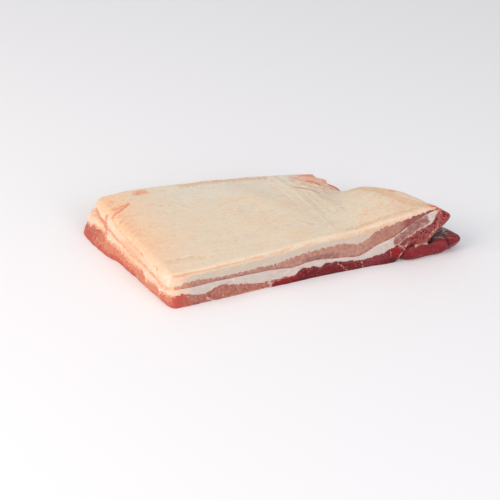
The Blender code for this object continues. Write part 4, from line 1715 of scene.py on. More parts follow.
@dataclass
class DarkLean(SlabLayer):
    """The thick lower lean, salmon at the left, dark red at the right, marbled in the nose."""

    fat_veins: Strokes = (
        Stroke(((-45.5, 10.5), (-44.5, 5), (-43.5, -2)), 2.2, 1.05),
        Stroke(((-100, -0.5), (-74, 0.2), (-50, 0.4), (-42, 0)), 1.1, 1.0),
        Stroke(((-117, 5), (-113, 2.5), (-109, -1)), 1.4, 1.0),
        Stroke(((-99, 6), (-97, 0)), 0.8, 0.7),
        Stroke(((37, 11), (42, 7), (48, 1)), 0.7, 0.8),
        Stroke(((65.5, 9), (67, 5), (68, 1)), 0.7, 0.8),
        Stroke(((1, 10), (4, 5), (3, 1)), 0.5, 0.4),
        Stroke(((99.3, 18), (100, 13), (100.6, 8.6)), 0.8, 0.75),
        Stroke(((109, 21), (113, 18.5), (117, 14.5)), 1.1, 0.95),
        Stroke(((115, 12.5), (112, 9), (109.5, 5)), 0.9, 0.8),
        Stroke(((119.5, 24), (118, 21), (117, 18)), 1.5, 0.7),
        Stroke(((159.5, 52), (157, 46), (156.5, 41)), 0.9, 0.85),
        Stroke(((156.5, 41), (155.5, 35.5), (153, 32), (149, 30.5), (146, 25)), 0.8, 0.8),
        Stroke(((146, 43), (140, 37.5), (131, 35.5), (123, 30)), 1.0, 0.9),
    )
    fan: Strokes = (
        Stroke(((157, 37), (154, 31), (150, 25), (142, 21)), 5.5, 1.0),
        Stroke(((112, 19), (116, 21), (119, 20)), 3.0, 0.7),
    )
    red_lobe: Strokes = (
        Stroke(((104, 15), (110, 13)), 6.0, 1.0),
        Stroke(((-39, 1), (-28, 4), (-14, 6)), 4.5, 0.7),
        Stroke(((160, 46), (167, 44)), 5.0, 0.8),
    )
    dark_streaks: Strokes = (
        Stroke(((-141, 9.5), (-138.5, 3)), 1.2, 0.55),
        Stroke(((90, 3), (99, 3.5), (106, 2)), 3.6, 0.6),
        Stroke(((-38, 2), (-20, 2), (10, 2)), 2.6, 0.35),
        Stroke(((117, 15), (122, 19), (127, 20.5)), 1.4, 1.0),
        Stroke(((113, 8), (116, 12)), 1.4, 0.8),
    )
    red_spots: Strokes = (
        Stroke(((-152, 2), (-150, 10)), 8.5, 1.1),
        Stroke(((-138, 3), (-142, 9)), 4.0, 0.6),
    )
    side_reds: Strokes = (
        Stroke(((72, 4), (60, 4)), 9.0, 1.0),
        Stroke(((40, 3), (10, 2.5), (-20, 2)), 5.0, 0.8),
        Stroke(((-84, 4), (-76, 8)), 6.0, 0.7),
    )
    skin_end: Pair = (150.0, 6.0)
    skin_reach: float = 2.5
    purple: Pair = (84.0, 16.0)
    back_shade: Pair = (20.0, 40.0)
    soft_back: Pair = (0.2, 0.5)
    dark_start: Pair = (-42.0, 4.0)
    dark_slant: float = 0.5
    dark_run: float = 3.0
    dark_spread: Pair = (18.0, 66.0)
    pale_edge: Pair = (3.8, 0.75)
    pale_end: Pair = (-15.0, 7.0)
    nose: Pair = (112.0, 10.0)
    bundle_reach: float = 4.0
    lit_reach: float = 3.6
    foot_shade: float = 3.0

    def dark_share(self) -> Array:
        """0 on the salmon left part and 1 on the dark right one, but for the dark part's pale edge.

        Returns:
            The share at each of the layer's points.
        """
        x, z = self.points[:, 0], self.points[:, 2]
        soft = ramp(self.v, *self.soft_back)
        start_x, start_z = self.dark_start
        start_soft, run_soft = self.dark_spread
        across = x - start_x - self.dark_slant * (z - start_z) + start_soft * soft
        dark = ease(across / (self.dark_run + run_soft * soft))
        reach, strength = self.pale_edge
        pale = bell(self.below_top, 0, reach) * (1 - ramp(x, *self.pale_end)) * self.by_front()
        return dark * (1 - strength * pale)

    def paint(self) -> None:
        """Adds veins of fat, the salmon left end, the dark right part and the nose."""
        super().paint()
        x, left = self.points[:, 0], self.masks["left"]
        for mask, strokes in (
            ("vein", self.fat_veins),
            ("red", self.red_spots),
            ("fan", self.fan),
            ("red_lobe", self.red_lobe),
            ("streak", self.dark_streaks),
        ):
            self.masks[mask] = self.by_front() * self.drawn(strokes)
        reds = left * self.drawn(self.side_reds, Plane.SIDE)
        self.masks["red"] = np.maximum(self.masks["red"], reds)
        upper = np.exp(-self.below_top / self.skin_reach)
        self.masks["skin_end"] = self.wall * ramp(x, *self.skin_end) * upper
        self.masks["purple"] = self.wall * bell(x, *self.purple)
        self.masks["back_shade"] = left * ramp(self.points[:, 1], *self.back_shade)
        self.masks["dark"] = self.dark_share()
        self.masks["nose"] = ramp(x, *self.nose)
        bundles = FORM.bundle_lines(1, self.u, self.v)
        self.masks["bundles"] = bundles * np.exp(-self.below_top / self.bundle_reach)
        lit = np.exp(-self.below_top / self.lit_reach)
        self.masks["lit_edge"] = self.wall * self.masks["dark"] * lit
        # Darker towards the foot of the dark lean, by the floor: painted shade.
        self.masks["foot"] = self.wall * np.exp(-self.above_foot / self.foot_shade)
        fat = 0.25 + 0.75 * self.masks["nose"]
        self.masks["marbling"] = self.wall * np.sin(math.pi * self.t) * fat


@dataclass
class LeanFlap:
    """The flap of lean that hangs out from under the right end."""

    name: str
    node: str
    slot: str
    finish: Finish
    unevenness: Unevenness
    outline: Points = (
        (117, -88), (150, -90), (180, -91), (191, -84), (187, -62),
        (178, -36), (160, -14), (134, -4), (122, -24), (114, -56),
    )
    middle: Pair = (152.0, -50.0)
    front_thickness: float = 19.5
    back_thickness: float = 11.0
    tip: Pair = (160.0, 20.0)
    tip_drop: float = 2.0
    tip_undercut: float = 0.10
    tip_overhang: float = 0.22
    undercut_run: Pair = (0.45, 0.55)
    depth: float = 86.0
    clearance: float = 2.2
    gap: float = 0.3
    least: float = 1.0
    spokes: int = 340
    top_rings: int = 52
    top_squareness: int = 14
    side_profile: Points = (
        (0.0, 0.93, 0.86), (0.25, 0.965, 0.72), (0.45, 0.99, 0.56),
        (0.6, 1.0, 0.42), (0.8, 0.985, 0.18), (1.0, 0.93, 0.0),
    )
    side_rings: int = 16
    foot_rings: int = 10
    grooves: Strokes = (
        Stroke(((146, -94), (158, -88), (168, -84), (178, -78)), 2.0, -1.3),
        Stroke(((150, -84), (162, -74), (172, -60)), 2.4, 0.6),
        Stroke(((152, -70), (166, -54)), 2.2, -0.6),
        Stroke(((166, -92), (174, -84), (180, -70)), 2.4, 0.6),
    )
    film: Strokes = (
        Stroke(((148, -90), (154, -80), (162, -64), (168, -44)), 9.0, 1.0),
        Stroke(((168, -80), (174, -62)), 6.0, 0.7),
    )
    glints: Strokes = (
        Stroke(((176, -82), (179, -73)), 3.8, 1.0),
        Stroke(((160, -88), (166, -91)), 2.6, 1.0),
    )
    # Painted shadow in the hollow under the slab's nose, on the flap's top.
    hollow: Strokes = (
        Stroke(((148, -92), (154, -87), (162, -80), (170, -78), (174, -66)), 4.8, 1.1),
    )
    pale_lines: Strokes = (
        Stroke(((129.5, 16.8), (134, 18), (139, 18), (145, 16.4)), 1.3, 1.0),
        Stroke(((165, 16.5), (167.5, 11)), 0.9, 0.4),
        Stroke(((156, 18), (157, 14)), 0.9, 0.35),
    )
    # Clefts in the flap's front: pressed in, and darkened with painted shade.
    shaded_clefts: Strokes = (
        Stroke(((169.5, 19), (171.5, 12), (172, 6)), 1.8, 1.0),
        Stroke(((120, 19), (114, 12), (108, 3)), 2.2, 0.9),
        Stroke(((146, 17), (146, 13)), 1.6, 0.5),
    )
    top_lines: Strokes = (
        Stroke(((173, -92), (180, -93), (184, -95)), 1.0, 0.6),
    )
    cleft_depth: float = 1.1
    front_cut: Pair = (-80.0, 6.0)
    groove_start: Pair = (140.0, 8.0)
    film_start: Pair = (138.0, 6.0)
    fleck_start: Pair = (160.0, 8.0)
    side_flecks: float = 0.3
    relief_start: float = 3.0
    points: Array = field(init=False, repr=False)
    part: Array = field(init=False, repr=False)
    masks: dict[str, Array] = field(init=False, default_factory=dict, repr=False)

    def closed_curve(self, count: int) -> Array:
        """Smooth closed outline, as that many places.

        Args:
            count: How many places.

        Returns:
            X and y of each, in millimetres.
        """
        corners = np.array(self.outline, float)
        wrapped = np.concatenate([corners[-3:], corners, corners[:3]])
        at = np.arange(len(wrapped)) - 3.0
        where = np.linspace(0, len(corners), count, endpoint=False)
        x = curve(tuple(zip(at, wrapped[:, 0])), where)
        y = curve(tuple(zip(at, wrapped[:, 1])), where)
        return np.stack([x, y], axis=-1)

    def tip_share(self, x: Array) -> Array:
        """0 on the flap's body and 1 at its tip."""
        return ramp(x, *self.tip)

    def height(self, x: Array, y: Array, drop: float) -> Array:
        """Height of the flap's upper face, under the slab where the slab lies on it.

        Args:
            x: Places along the slab.
            y: Places across it.
            drop: The share of the full height, less than 1 by the side.

        Returns:
            The heights.
        """
        back = np.clip((y - self.outline[2][1]) / self.depth, 0, 1)
        thickness = self.front_thickness + back * (self.back_thickness - self.front_thickness)
        under = FORM.lift(x, y)
        lifted = under / FORM.lift_height
        room = self.gap + 4 * self.clearance * lifted * (1 - lifted)
        covered = np.maximum(np.minimum(thickness * drop, under - room), self.least)
        return np.maximum(covered - self.tip_drop * self.tip_share(x) * drop, self.least)

    def build(self) -> None:
        """Works out the points, ring by ring from the middle of the top out, down and under.

        The part says where each point lies: 1 on the top, 0 on the side and -1 underneath.
        """
        middle = np.array(self.middle)
        outline = self.closed_curve(self.spokes)
        out = outline - middle
        tip = self.tip_share(outline[:, 0])[:, None]
        down, reaches, drops = np.array(self.side_profile).T
        top_reach, top_drop = reaches[0], drops[0]
        rings = []
        for share in np.linspace(0, 1, self.top_rings)[1:]:
            spot = middle + top_reach * share * out
            drop = 1 - (1 - top_drop) * share**self.top_squareness
            rings.append(np.column_stack([spot, self.height(*spot.T, drop)]))
        rim = middle + top_reach * out
        rim_height = self.height(*rim.T, top_drop) / top_drop
        steps = np.linspace(0, 1, self.side_rings)[1:]
        side_reaches = curve(tuple(zip(down, reaches)), steps)
        side_drops = curve(tuple(zip(down, drops)), steps)
        for step, reach, drop in zip(steps, side_reaches, side_drops):
            inward = self.tip_undercut * tip * ramp(step, *self.undercut_run)
            held = drop + self.tip_overhang * tip[:, 0] * math.sin(math.pi * step)
            rings.append(np.column_stack([middle + (reach - inward) * out, rim_height * held]))
        foot = side_reaches[-1] - self.tip_undercut * tip
        for share in np.linspace(1, 0, self.foot_rings + 1)[1:-1]:
            rings.append(np.column_stack([middle + foot * share * out, np.zeros(len(out))]))
        top = (*middle, float(self.height(*(np.array([m]) for m in middle), 1.0)[0]))
        points = np.concatenate([[top], *rings, [(*middle, 0.0)]])
        self.points = points - np.array([*FORM.middle, 0.0])
        counts = np.array([self.top_rings - 1, self.side_rings - 1, self.foot_rings - 1])
        parts = np.repeat([1.0, 0.0, -1.0], counts * self.spokes)
        self.part = np.concatenate([[1.0], parts, [-1.0]])

    def faces(self) -> list[tuple[int, ...]]:
        """Triangles round the middle of the top and of the underside, and quads between rings.

        Returns:
            The faces, as point numbers.
        """
        n, last = self.spokes, len(self.points) - 1
        foot = last - n
        found: list[tuple[int, ...]] = []
        for i in range(n):
            j = (i + 1) % n
            found.append((0, 1 + i, 1 + j))
            found.append((foot + j, foot + i, last))
            for a in range(1, foot, n):
                found.append((a + i, a + n + i, a + n + j, a + j))
        return found

    def shape(self) -> None:
        """Presses the grooves into the top and the clefts into the front, and keeps the clefts as a mask of
        painted shade.
        """
        upper = (self.part > 0.5).astype(float)
        grooves = strokes_over(self.grooves, self.points, Plane.TOP)
        self.points[:, 2] += upper * grooves * ramp(self.points[:, 0], *self.groove_start)
        start, run = self.front_cut
        front = ease((start - self.points[:, 1]) / run)
        clefts = front * (self.part > -0.5) * strokes_over(self.shaded_clefts, self.points, Plane.FRONT)
        pale = front * strokes_over(self.pale_lines, self.points, Plane.FRONT)
        self.masks = {"cleft": clefts, "vein": pale}
        self.points[:, 1] += self.cleft_depth * clefts * (1 - upper)

    def paint(self) -> None:
        """Adds the film, painted shadow in the hollow, the lines of fat and the painted glints on top."""
        x, z = self.points[:, 0], self.points[:, 2]
        upper = (self.part > 0.5).astype(float)
        filmed = upper * ramp(x, *self.film_start)
        for mask, where, strokes in (
            # Painted shadow in the hollow under the slab's nose.
            ("hollow", filmed, self.hollow),
            ("film", filmed, self.film),
            ("glint", upper, self.glints),
            ("line", upper, self.top_lines),
        ):
            self.masks[mask] = where * strokes_over(strokes, self.points, Plane.TOP)
        self.masks["vein"] = np.maximum(self.masks["vein"], self.masks.pop("line"))
        self.masks["relief"] = np.where(self.part < -0.5, 0.0, ease(z / self.relief_start))
        side = (1 - upper) * (self.part > -0.5) * self.side_flecks
        self.masks["marbling"] = side + upper * ramp(x, *self.fleck_start)

    def make(self, relief_tree: ReliefTree) -> Item:
        """Builds, shapes, paints and dresses the flap, and ties it to the frame.

        Args:
            relief_tree: The tree that gives the surface its unevenness.

        Returns:
            The finished piece.
        """
        self.build()
        self.shape()
        self.paint()
        draft = write_mesh(f"{self.name}_draft", self.points, self.faces(), self.masks)
        piece = relief_tree.run(draft, self.unevenness.values(self.finish), self.name)
        return settle(piece, self.node)


@dataclass
class Marbling:
    """Small flecks of fat bedded in the cut faces of one piece of lean."""

    name: str
    slot: str
    host: Item
    fat: bpy.types.Material
    density: float
    smallest: Triple = (0.3, 0.14, 0.04)
    largest: Triple = (1.2, 0.3, 0.08)
    seed: int = SEED

    def make(self, fleck_tree: FleckTree) -> Item:
        """Scatters the flecks over the host's surface.

        Args:
            fleck_tree: The tree that beds them.

        Returns:
            The finished piece.
        """
        carrier = add_object(f"{self.name}_carrier", self.host.data.copy())
        values = {
            "Flecks per square centimetre": self.density,
            "Smallest": self.smallest,
            "Largest": self.largest,
            "Seed": self.seed,
            "Material": self.fat,
        }
        return settle(fleck_tree.run(carrier, values, self.name))


# Scalded pork skin: matt, waxy and cream, with faint orange grain, and cut fat below its edge.
RIND = Finish(
    name="scalded_rind_and_back_fat",
    base="E9D9BF",
    coats=(
        # Peach near the left end: partly the rind's own tint, partly painted warm light from the left.
        Coat("FFCDA3", "peach", 0.0, 1.0, 9.0, 0.06, strength=0.95),
        Coat("EAD0B0", "", 0.48, 0.66, 24.0, stretch=(2.0, 1.0, 1.0), strength=0.7, within="grey_skin"),
        Coat("DED4C4", "", 0.5, 0.7, 13.0, stretch=(1.6, 1.0, 1.0), strength=0.5, within="grey_skin"),
        Coat("E2DDCE", "pale_back", 0.1, 1.0, 8.0, 0.3, strength=0.7),
        Coat("F0B088", "", 0.5, 0.68, 2.2, stretch=(4.0, 1.0, 1.0), strength=0.55, within="peach"),
        Coat("E8C8AE", "hump", 0.5, 1.1, 9.0, 0.4, strength=0.6),
        # Painted shade in the rind's hollows.
        Coat("DACFBE", "hollow_shade", 0.25, 0.8, 5.0, 0.4, strength=0.85),
        Coat("E9BC98", "", 0.54, 0.70, 5.0, stretch=(4.0, 1.0, 1.0), strength=0.4),
        Coat("E5A584", "", 0.58, 0.74, 2.6, stretch=(3.4, 1.0, 1.0), strength=0.55),
        Coat("F6EEE0", "", 0.54, 0.70, 1.8, stretch=(2.0, 1.0, 1.0), strength=0.5),
        Coat("D6BA9E", "", 0.56, 0.72, 1.4, stretch=(2.4, 1.0, 1.0), strength=0.4),
        Coat("DFB892", "tan", 0.25, 0.9, 4.0, 0.4, strength=0.75),
        Coat("E2A68A", "wash", 0.28, 1.05, 3.0, 0.45, stretch=(1.8, 1.0, 1.0), strength=0.7),
        Coat("F0A57E", "blush", 0.2, 0.9, 3.2, 0.4, stretch=(1.8, 1.0, 1.0), strength=0.9),
        Coat("E2835F", "blush", 0.7, 1.3, 1.6, 0.5, stretch=(1.8, 1.0, 1.0), strength=0.75),
        Coat("B4573F", "blush", 1.3, 2.0, 1.6, 0.5, strength=0.8),
        Coat("B3644B", "scar", 0.2, 1.1, 2.0, 0.25, strength=0.75),
        Coat("EFA883", "rib", 0.2, 0.9, 3.0, 0.3, strength=0.6),
        Coat("D2C0AE", "skin", 0.78, 0.30, 1.6, 0.10, strength=1.0),
        Coat("E6D3BE", "", 0.5, 0.68, 3.4, stretch=(3.0, 3.0, 1.0), strength=0.4, within="cut"),
        # Painted warm light on the cuts near the left end.
        Coat("F8D4B7", "warm_light", 0.1, 0.95, 6.0, 0.15, strength=0.92),
        Coat("F0B48C", "mid_cut", 0.2, 1.0, 5.0, 0.4, strength=0.6),
        # Painted highlight down the front left corner.
        Coat("FFEAD4", "corner", 0.25, 0.95, 3.0, 0.3, strength=0.6),
        # The two coats below: lighter, warmer patches on the left cut, painted light from the left over the
        # fat's own tint.
        Coat("EDB08E", "", 0.52, 0.72, 3.0, stretch=(1.0, 1.8, 0.8), strength=0.6, within="left"),
        Coat("FFE6D0", "", 0.56, 0.7, 4.0, stretch=(1.0, 2.2, 0.8), strength=0.5, within="left"),
        Coat("E39B7B", "groove", 0.2, 1.1, 2.4, 0.45, strength=0.8),
        Coat("B9553F", "groove", 1.3, 2.3, 2.0, 0.4, strength=0.85),
        Coat("E8B088", "skin_line", 0.1, 1.0, 9.0, 0.34, stretch=(1.6, 1.0, 1.0), strength=0.88),
    ),
    reliefs=(Relief(5.0, 0.3, (2.0, 1.0, 1.0)), Relief(1.2, 0.12), Relief(0.5, 0.05)),
    roughness=(0.45, 0.65),
    glow=0.35,
    glow_radius=(1.0, 0.55, 0.35),
    glow_scale=2.5,
    specular=0.35,
)

# Lean of the belly where it is pale: moist, pinkish brown, grained by the ends of its bundles.
PALE = Finish(
    name="pale_cut_lean",
    base="BE8D7A",
    coats=(
        Coat("A76D60", "", 0.45, 0.62, 3.0, stretch=(1.0, 1.0, 1.6), strength=0.75),
        Coat("D2AC9C", "", 0.54, 0.7, 1.4, stretch=(1.0, 1.0, 1.8), strength=0.65),
        Coat("AC6E5C", "rich", 0.2, 1.1, 3.0, 0.5, stretch=(1.0, 1.0, 1.6), strength=0.5),
        # Painted shade along the foot of the pale lean, with some of its own purplish tone.
        Coat("85524F", "foot_band_shade", 0.2, 1.0, 3.0, 0.5, stretch=(1.8, 1.0, 1.0), strength=0.6),
        # Darker at the foot of the pale lean: painted shade with some of its own purplish tone.
        Coat("8B4A45", "from_below", 0.15, 0.9, 3.0, 0.5, strength=0.7),
        Coat("DD8D70", "red_end", 0.2, 0.8, 5.0, 0.25, strength=0.95),
        Coat("954B49", "tip", 0.2, 1.0, 3.0, 0.4, stretch=(2.4, 1.0, 1.0), strength=0.75),
        Coat("80302F", "tip", 0.7, 1.25, 2.0, 0.5, stretch=(3.0, 1.0, 0.7), strength=0.6),
        Coat("C9977F", "", 0.6, 0.72, 2.0, stretch=(3.0, 1.0, 0.6), strength=0.5, within="tip"),
        Coat("C46A55", "skin_end", 0.3, 0.9, 3.0, 0.4, strength=0.9),
        Coat("D8C0B2", "bundles", 0.35, 0.9, 2.0, 0.3, strength=0.8),
        # Painted warm light on the cuts near the left end.
        Coat("E39A7C", "warm_light", 0.3, 1.0, 4.0, 0.3, strength=0.6),
        # Lighter, warmer copy on the left cut: painted light from the left over the lean's own tone.
        Coat("F8C8A6", "left", 0.45, 1.0, 4.0, 0.3, strength=0.88),
        Coat("E3977A", "groove", 0.25, 1.1, 3.0, 0.5, strength=0.85),
        Coat("C0604A", "groove", 1.3, 2.3, 2.0, 0.4, strength=0.8),
    ),
    reliefs=(Relief(2.2, 0.25, (1.0, 1.0, 1.8)), Relief(0.9, 0.1)),
    roughness=(0.35, 0.55),
    glow=0.3,
    glow_radius=(1.0, 0.3, 0.2),
    glow_scale=1.6,
    specular=0.4,
)

# Seam fat: firm, white to faintly pink, smooth where the knife passed.
SEAM = Finish(
    name="cut_seam_fat",
    base="D2C3B8",
    coats=(
        Coat("DFD0C5", "", 0.48, 0.66, 7.0, strength=0.7),
        Coat("C7ABA0", "", 0.54, 0.70, 3.0, stretch=(2.2, 1.0, 1.0), strength=0.65),
        Coat("B99F95", "", 0.58, 0.72, 6.0, stretch=(2.4, 1.0, 1.0), strength=0.45),
        Coat("C79A8C", "from_below", 0.5, 1.2, 2.4, 0.5, strength=0.5),
        # Painted warm light on the cuts near the left end.
        Coat("F9D4B8", "warm_light", 0.1, 0.95, 6.0, 0.15, strength=0.92),
        Coat("F0B48C", "mid_cut", 0.2, 1.0, 5.0, 0.4, strength=0.6),
        # Painted highlight down the front left corner.
        Coat("FFEAD4", "corner", 0.25, 0.95, 3.0, 0.3, strength=0.6),
        # The two coats below: lighter, warmer fat on the left cut, painted light from the left over its own
        # tint.
        Coat("EBA98A", "from_below", 0.3, 0.9, 2.4, 0.5, strength=0.8, within="left"),
        Coat("F0B894", "", 0.5, 0.7, 3.4, stretch=(1.0, 1.6, 0.8), strength=0.6, within="left"),
        Coat("E3977A", "groove", 0.25, 1.1, 2.4, 0.5, strength=0.85),
        Coat("C0604A", "groove", 1.3, 2.3, 2.0, 0.4, strength=0.8),
        Coat("AC7D70", "lens", 0.32, 0.52, 3.0, 0.22, strength=1.0),
        Coat("8C4E49", "lens", 0.5, 1.0, 3.4, 0.65, stretch=(1.6, 1.0, 1.0), strength=0.75),
        Coat("CDAEA0", "", 0.54, 0.68, 1.6, stretch=(1.4, 1.0, 1.0), strength=0.6, within="lens"),
        Coat("C96F5C", "skin_end", 0.3, 0.9, 3.0, 0.5, strength=0.85),
    ),
    reliefs=(Relief(3.0, 0.2), Relief(1.0, 0.08)),
    roughness=(0.35, 0.55),
    glow=0.4,
    glow_radius=(1.0, 0.6, 0.45),
    glow_scale=2.2,
    moisture=0.1,
)

# Dark lean: deep red wet muscle with bundles that catch the light and veins of fat.
DARK = Finish(
    name="dark_cut_lean",
    base="B26F5E",
    coats=(
        Coat("9C584C", "", 0.45, 0.62, 3.5, stretch=(1.0, 1.0, 1.4), strength=0.75),
        Coat("8C4842", "", 0.52, 0.66, 9.0, stretch=(1.3, 1.0, 1.0), strength=0.6),
        Coat("C4705F", "", 0.52, 0.68, 6.0, stretch=(1.3, 1.0, 1.0), strength=0.5),
        Coat("D0A293", "", 0.53, 0.67, 1.8, stretch=(1.0, 1.0, 1.6), strength=0.75),
        Coat("D5BAAC", "bundles", 0.4, 1.0, 2.0, 0.3, strength=0.6),
        Coat("C9524A", "red", 0.25, 0.8, 4.0, 0.4, strength=0.95),
        # The three coats below: lighter, warmer copy of the lean on the left cut, partly painted light from
        # the left, partly its own salmon tone.
        Coat("D98A6D", "left", 0.3, 0.8, 4.0, 0.3, strength=0.95),
        Coat("C97A64", "", 0.47, 0.62, 3.2, strength=0.65, within="left"),
        Coat("EDA98B", "", 0.54, 0.68, 1.8, strength=0.6, within="left"),
        Coat("C25A4C", "red", 0.3, 0.9, 4.0, 0.5, strength=0.85),
        Coat("B65C50", "back_shade", 0.25, 1.2, 2.6, 0.7, strength=0.75),
        Coat("8F6660", "", 0.58, 0.7, 1.8, strength=0.5, within="back_shade"),
        Coat("F4C09C", "from_above", 0.35, 0.75, 2.2, 0.45, strength=0.9, within="left"),
        # Painted shade at the foot of the left cut, by the floor.
        Coat("B85347", "foot", 0.3, 0.9, 4.0, 0.4, strength=0.6, within="left"),
        Coat("6E141B", "dark", 0.42, 0.58, 4.0, 0.3, strength=1.0),
        Coat("8A2729", "", 0.46, 0.62, 2.6, stretch=(1.0, 1.0, 1.5), strength=0.75, within="dark"),
        Coat("4C0A10", "", 0.54, 0.70, 6.0, strength=0.6, within="dark"),
        Coat("8E3C40", "purple", 0.3, 0.9, 3.0, 0.5, strength=0.55),
        # Painted shade along the foot of the dark front, by the floor.
        Coat("5A0B12", "foot", 0.3, 1.0, 3.0, 0.35, strength=0.7, within="dark"),
        Coat("8F4D4E", "lit_edge", 0.25, 1.1, 2.4, 0.55, strength=0.65),
        Coat("8D161B", "nose", 0.4, 0.8, 5.0, 0.3, strength=0.85),
        Coat("5C080E", "", 0.45, 0.57, 6.5, strength=0.85, within="nose"),
        Coat("B0544E", "", 0.56, 0.68, 2.0, strength=0.55, within="nose"),
        Coat("93161C", "red_lobe", 0.2, 0.8, 3.0, 0.3, strength=0.95),
        Coat("A94A43", "fan", 0.3, 1.2, 2.2, 0.75, stretch=(0.7, 1.0, 1.6), strength=0.75),
        Coat("D9A390", "", 0.57, 0.69, 1.3, stretch=(0.6, 1.0, 1.8), strength=0.55, within="fan"),
        Coat("BB7A74", "", 0.18, 0.01, 4.4, strength=0.45, pattern=Pattern.SEAMS, within="nose"),
        Coat("BC5A48", "skin_end", 0.25, 0.8, 3.0, 0.5, strength=0.8),
        Coat("4E0A0E", "streak", 0.2, 0.9, 2.0, 0.3, strength=0.85),
        Coat("D6B0A2", "vein", 0.3, 0.95, 2.0, 0.55, strength=0.9),
    ),
    reliefs=(Relief(2.4, 0.35, (1.0, 1.0, 1.5)), Relief(0.9, 0.12)),
    roughness=(0.3, 0.5),
    glow=0.3,
    glow_radius=(1.0, 0.2, 0.14),
    glow_scale=1.6,
    specular=0.2,
    moisture=0.1,
    moisture_roughness=0.25,
)

# Flap of lean: dark wet muscle with a matt film, painted shadow in the hollow under the slab's nose, painted
# shade in the clefts of its front, and painted highlights as pale grey-green glints on top.
FLAP = Finish(
    name="wet_lean_flap",
    base="821920",
    coats=(
        Coat("982A2C", "", 0.46, 0.64, 3.0, strength=0.7),
        Coat("560B11", "", 0.52, 0.68, 7.0, strength=0.6),
        Coat("7A3437", "film", 0.2, 0.7, 3.0, 0.35, strength=0.8),
        # Painted shadow in the hollow under the slab's nose.
        Coat("2A1513", "hollow", 0.3, 0.75, 3.0, 0.35, strength=0.95),
        Coat("8FA098", "glint", 0.45, 0.95, 1.6, 0.7, strength=0.85),
        # Painted shade in the clefts of the flap's front.
        Coat("4E0A0F", "cleft", 0.25, 0.9, 3.0, 0.3, strength=0.85),
        Coat("DDB5A2", "vein", 0.3, 0.9, 1.6, 0.15, strength=0.9),
    ),
    reliefs=(Relief(2.6, 0.4), Relief(0.9, 0.12)),
    roughness=(0.28, 0.48),
    glow=0.3,
    glow_radius=(1.0, 0.2, 0.14),
    glow_scale=1.6,
    specular=0.22,
    moisture=0.14,
    moisture_roughness=0.22,
)

# Flecks of fat in the lean: soft, off-white, faintly pink.
FLECK = Finish(
    name="marbling_fat",
    base="B27468",
    coats=(Coat("C89A8C", "", 0.45, 0.6, 2.0, strength=0.8),),
    reliefs=(Relief(1.0, 0.05),),
    roughness=(0.35, 0.5),
    glow=0.3,
    glow_radius=(1.0, 0.5, 0.4),
    glow_scale=1.0,
)


@dataclass(frozen=True)
class Light:
    """One soft studio light."""

    name: str
    place: Triple
    target: Triple
    size: float
    power: float
    colour: str

    def make(self) -> None:
        """Adds the light."""
        lamp = bpy.data.lights.new(self.name, "AREA")
        lamp.shape = "SQUARE"
        lamp.size = self.size
        lamp.energy = self.power
        lamp.color = linear(self.colour)[:3]
        item = add_object(self.name, lamp)
        item.location = self.place
        aim = Vector(self.target) - Vector(self.place)
        item.rotation_euler = aim.to_track_quat("-Z", "Y").to_euler()


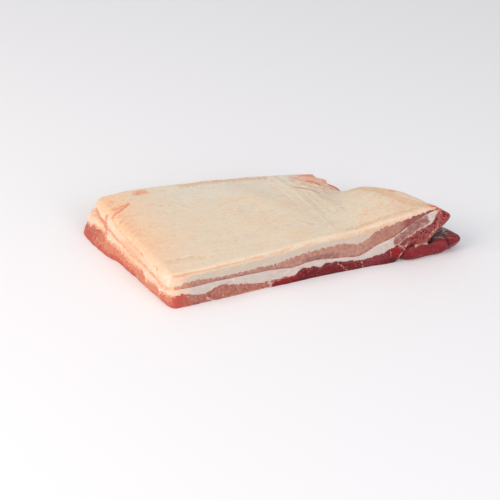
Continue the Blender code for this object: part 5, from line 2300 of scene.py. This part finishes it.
@dataclass(frozen=True)
class Studio:
    """The camera, the pale floor and the soft light."""

    camera_place: Triple = (-597.2, -1104.5, 786.4)
    camera_right: Triple = (0.90325, -0.42483, 0.06053)
    camera_up: Triple = (0.18422, 0.51128, 0.83944)
    camera_back: Triple = (-0.38756, -0.74707, 0.54007)
    lens: float = 95.68
    sensor: float = 36.0
    floor_size: float = 30.0
    floor_colour: str = "FAFAFB"
    floor_roughness: float = 0.7
    sky_colour: str = "F4F6FA"
    sky_strength: float = 0.62
    lights: tuple[Light, ...] = (
        Light("key", (-1.6, -0.1, 1.1), (0, 0, 0), 1.1, 19.0, "FFF3EA"),
        Light("fill", (0.5, -1.8, 0.9), (0, 0, 0), 1.4, 14.0, "FBF8FF"),
    )

    def camera(self) -> None:
        """Puts the camera where the photograph was taken from."""
        data = bpy.data.cameras.new("camera")
        data.lens, data.sensor_width = self.lens, self.sensor
        item = add_object("camera", data)
        turn = Matrix((self.camera_right, self.camera_up, self.camera_back)).transposed()
        item.matrix_world = Matrix.Translation(Vector(self.camera_place) * MM) @ turn.to_4x4()
        bpy.context.scene.camera = item

    def floor(self) -> None:
        """Lays a wide, pale, matt floor."""
        half = self.floor_size / 2
        mesh = bpy.data.meshes.new("floor")
        corners = [(-half, -half, 0), (half, -half, 0), (half, half, 0), (-half, half, 0)]
        mesh.from_pydata(corners, [], [(0, 1, 2, 3)])
        material = bpy.data.materials.new("pale_floor")
        material.use_nodes = True
        shader = material.node_tree.nodes["Principled BSDF"]
        shader.inputs["Base Color"].default_value = linear(self.floor_colour)
        shader.inputs["Roughness"].default_value = self.floor_roughness
        mesh.materials.append(material)
        add_object("floor", mesh)

    def sky(self) -> None:
        """Fills the surroundings with even, near-white light."""
        world = bpy.data.worlds.new("studio")
        world.use_nodes = True
        back = world.node_tree.nodes["Background"]
        back.inputs["Color"].default_value = linear(self.sky_colour)
        back.inputs["Strength"].default_value = self.sky_strength
        bpy.context.scene.world = world

    def make(self) -> None:
        """Sets up the whole studio."""
        self.camera()
        self.floor()
        self.sky()
        for light in self.lights:
            light.make()
        bpy.context.scene.view_settings.view_transform = "Standard"


def slab_layers() -> tuple[SlabLayer, ...]:
    """The slab's four layers, from the top down.

    Returns:
        The layers, not yet built.
    """
    return (
        RindCap(
            "rind_cap", "fat_cap", "rind_fat", 3, 1.0, RIND,
            Unevenness(0.5, 26.0, 0.12, 4.0, 3.1),
            open_top=True,
        ),
        PaleLean(
            "pale_lean_band", "upper_lean", "pale_lean", 2, 0.4, PALE,
            Unevenness(0.3, 8.0, 0.2, 2.4, 5.7),
        ),
        FatSeam(
            "fat_seam_band", "fat_seam", "seam_fat", 1, 0.9, SEAM,
            Unevenness(0.3, 12.0, 0.12, 3.0, 8.3),
        ),
        DarkLean(
            "dark_lean_body", "lower_lean", "dark_lean", 0, 1.2, DARK,
            Unevenness(0.5, 9.0, 0.25, 2.6, 2.9),
            plain_columns=120,
            plain_rows=60,
            open_foot=True,
        ),
    )


def main() -> None:
    """Builds the studio, the slab's layers, the flap and the marbling."""
    logging.basicConfig(level=logging.INFO, format="%(name)s %(message)s")
    Studio().make()
    relief_tree, fleck_tree = ReliefTree(), FleckTree()
    pieces = {layer.name: layer.make(relief_tree) for layer in slab_layers()}
    flap = LeanFlap(
        "lean_flap_body", "lean_flap", "flap_lean", FLAP, Unevenness(0.9, 11.0, 0.3, 3.0, 4.4)
    )
    pieces[flap.name] = flap.make(relief_tree)
    fat = FLECK.build()
    for name, host, density in (
        ("dark_lean_flecks", "dark_lean_body", 1.2),
        ("pale_lean_flecks", "pale_lean_band", 3.0),
        ("flap_flecks", "lean_flap_body", 2.0),
    ):
        Marbling(name, "seam_fat", pieces[host], fat, density).make(fleck_tree)


if __name__ == "__main__":
    main()
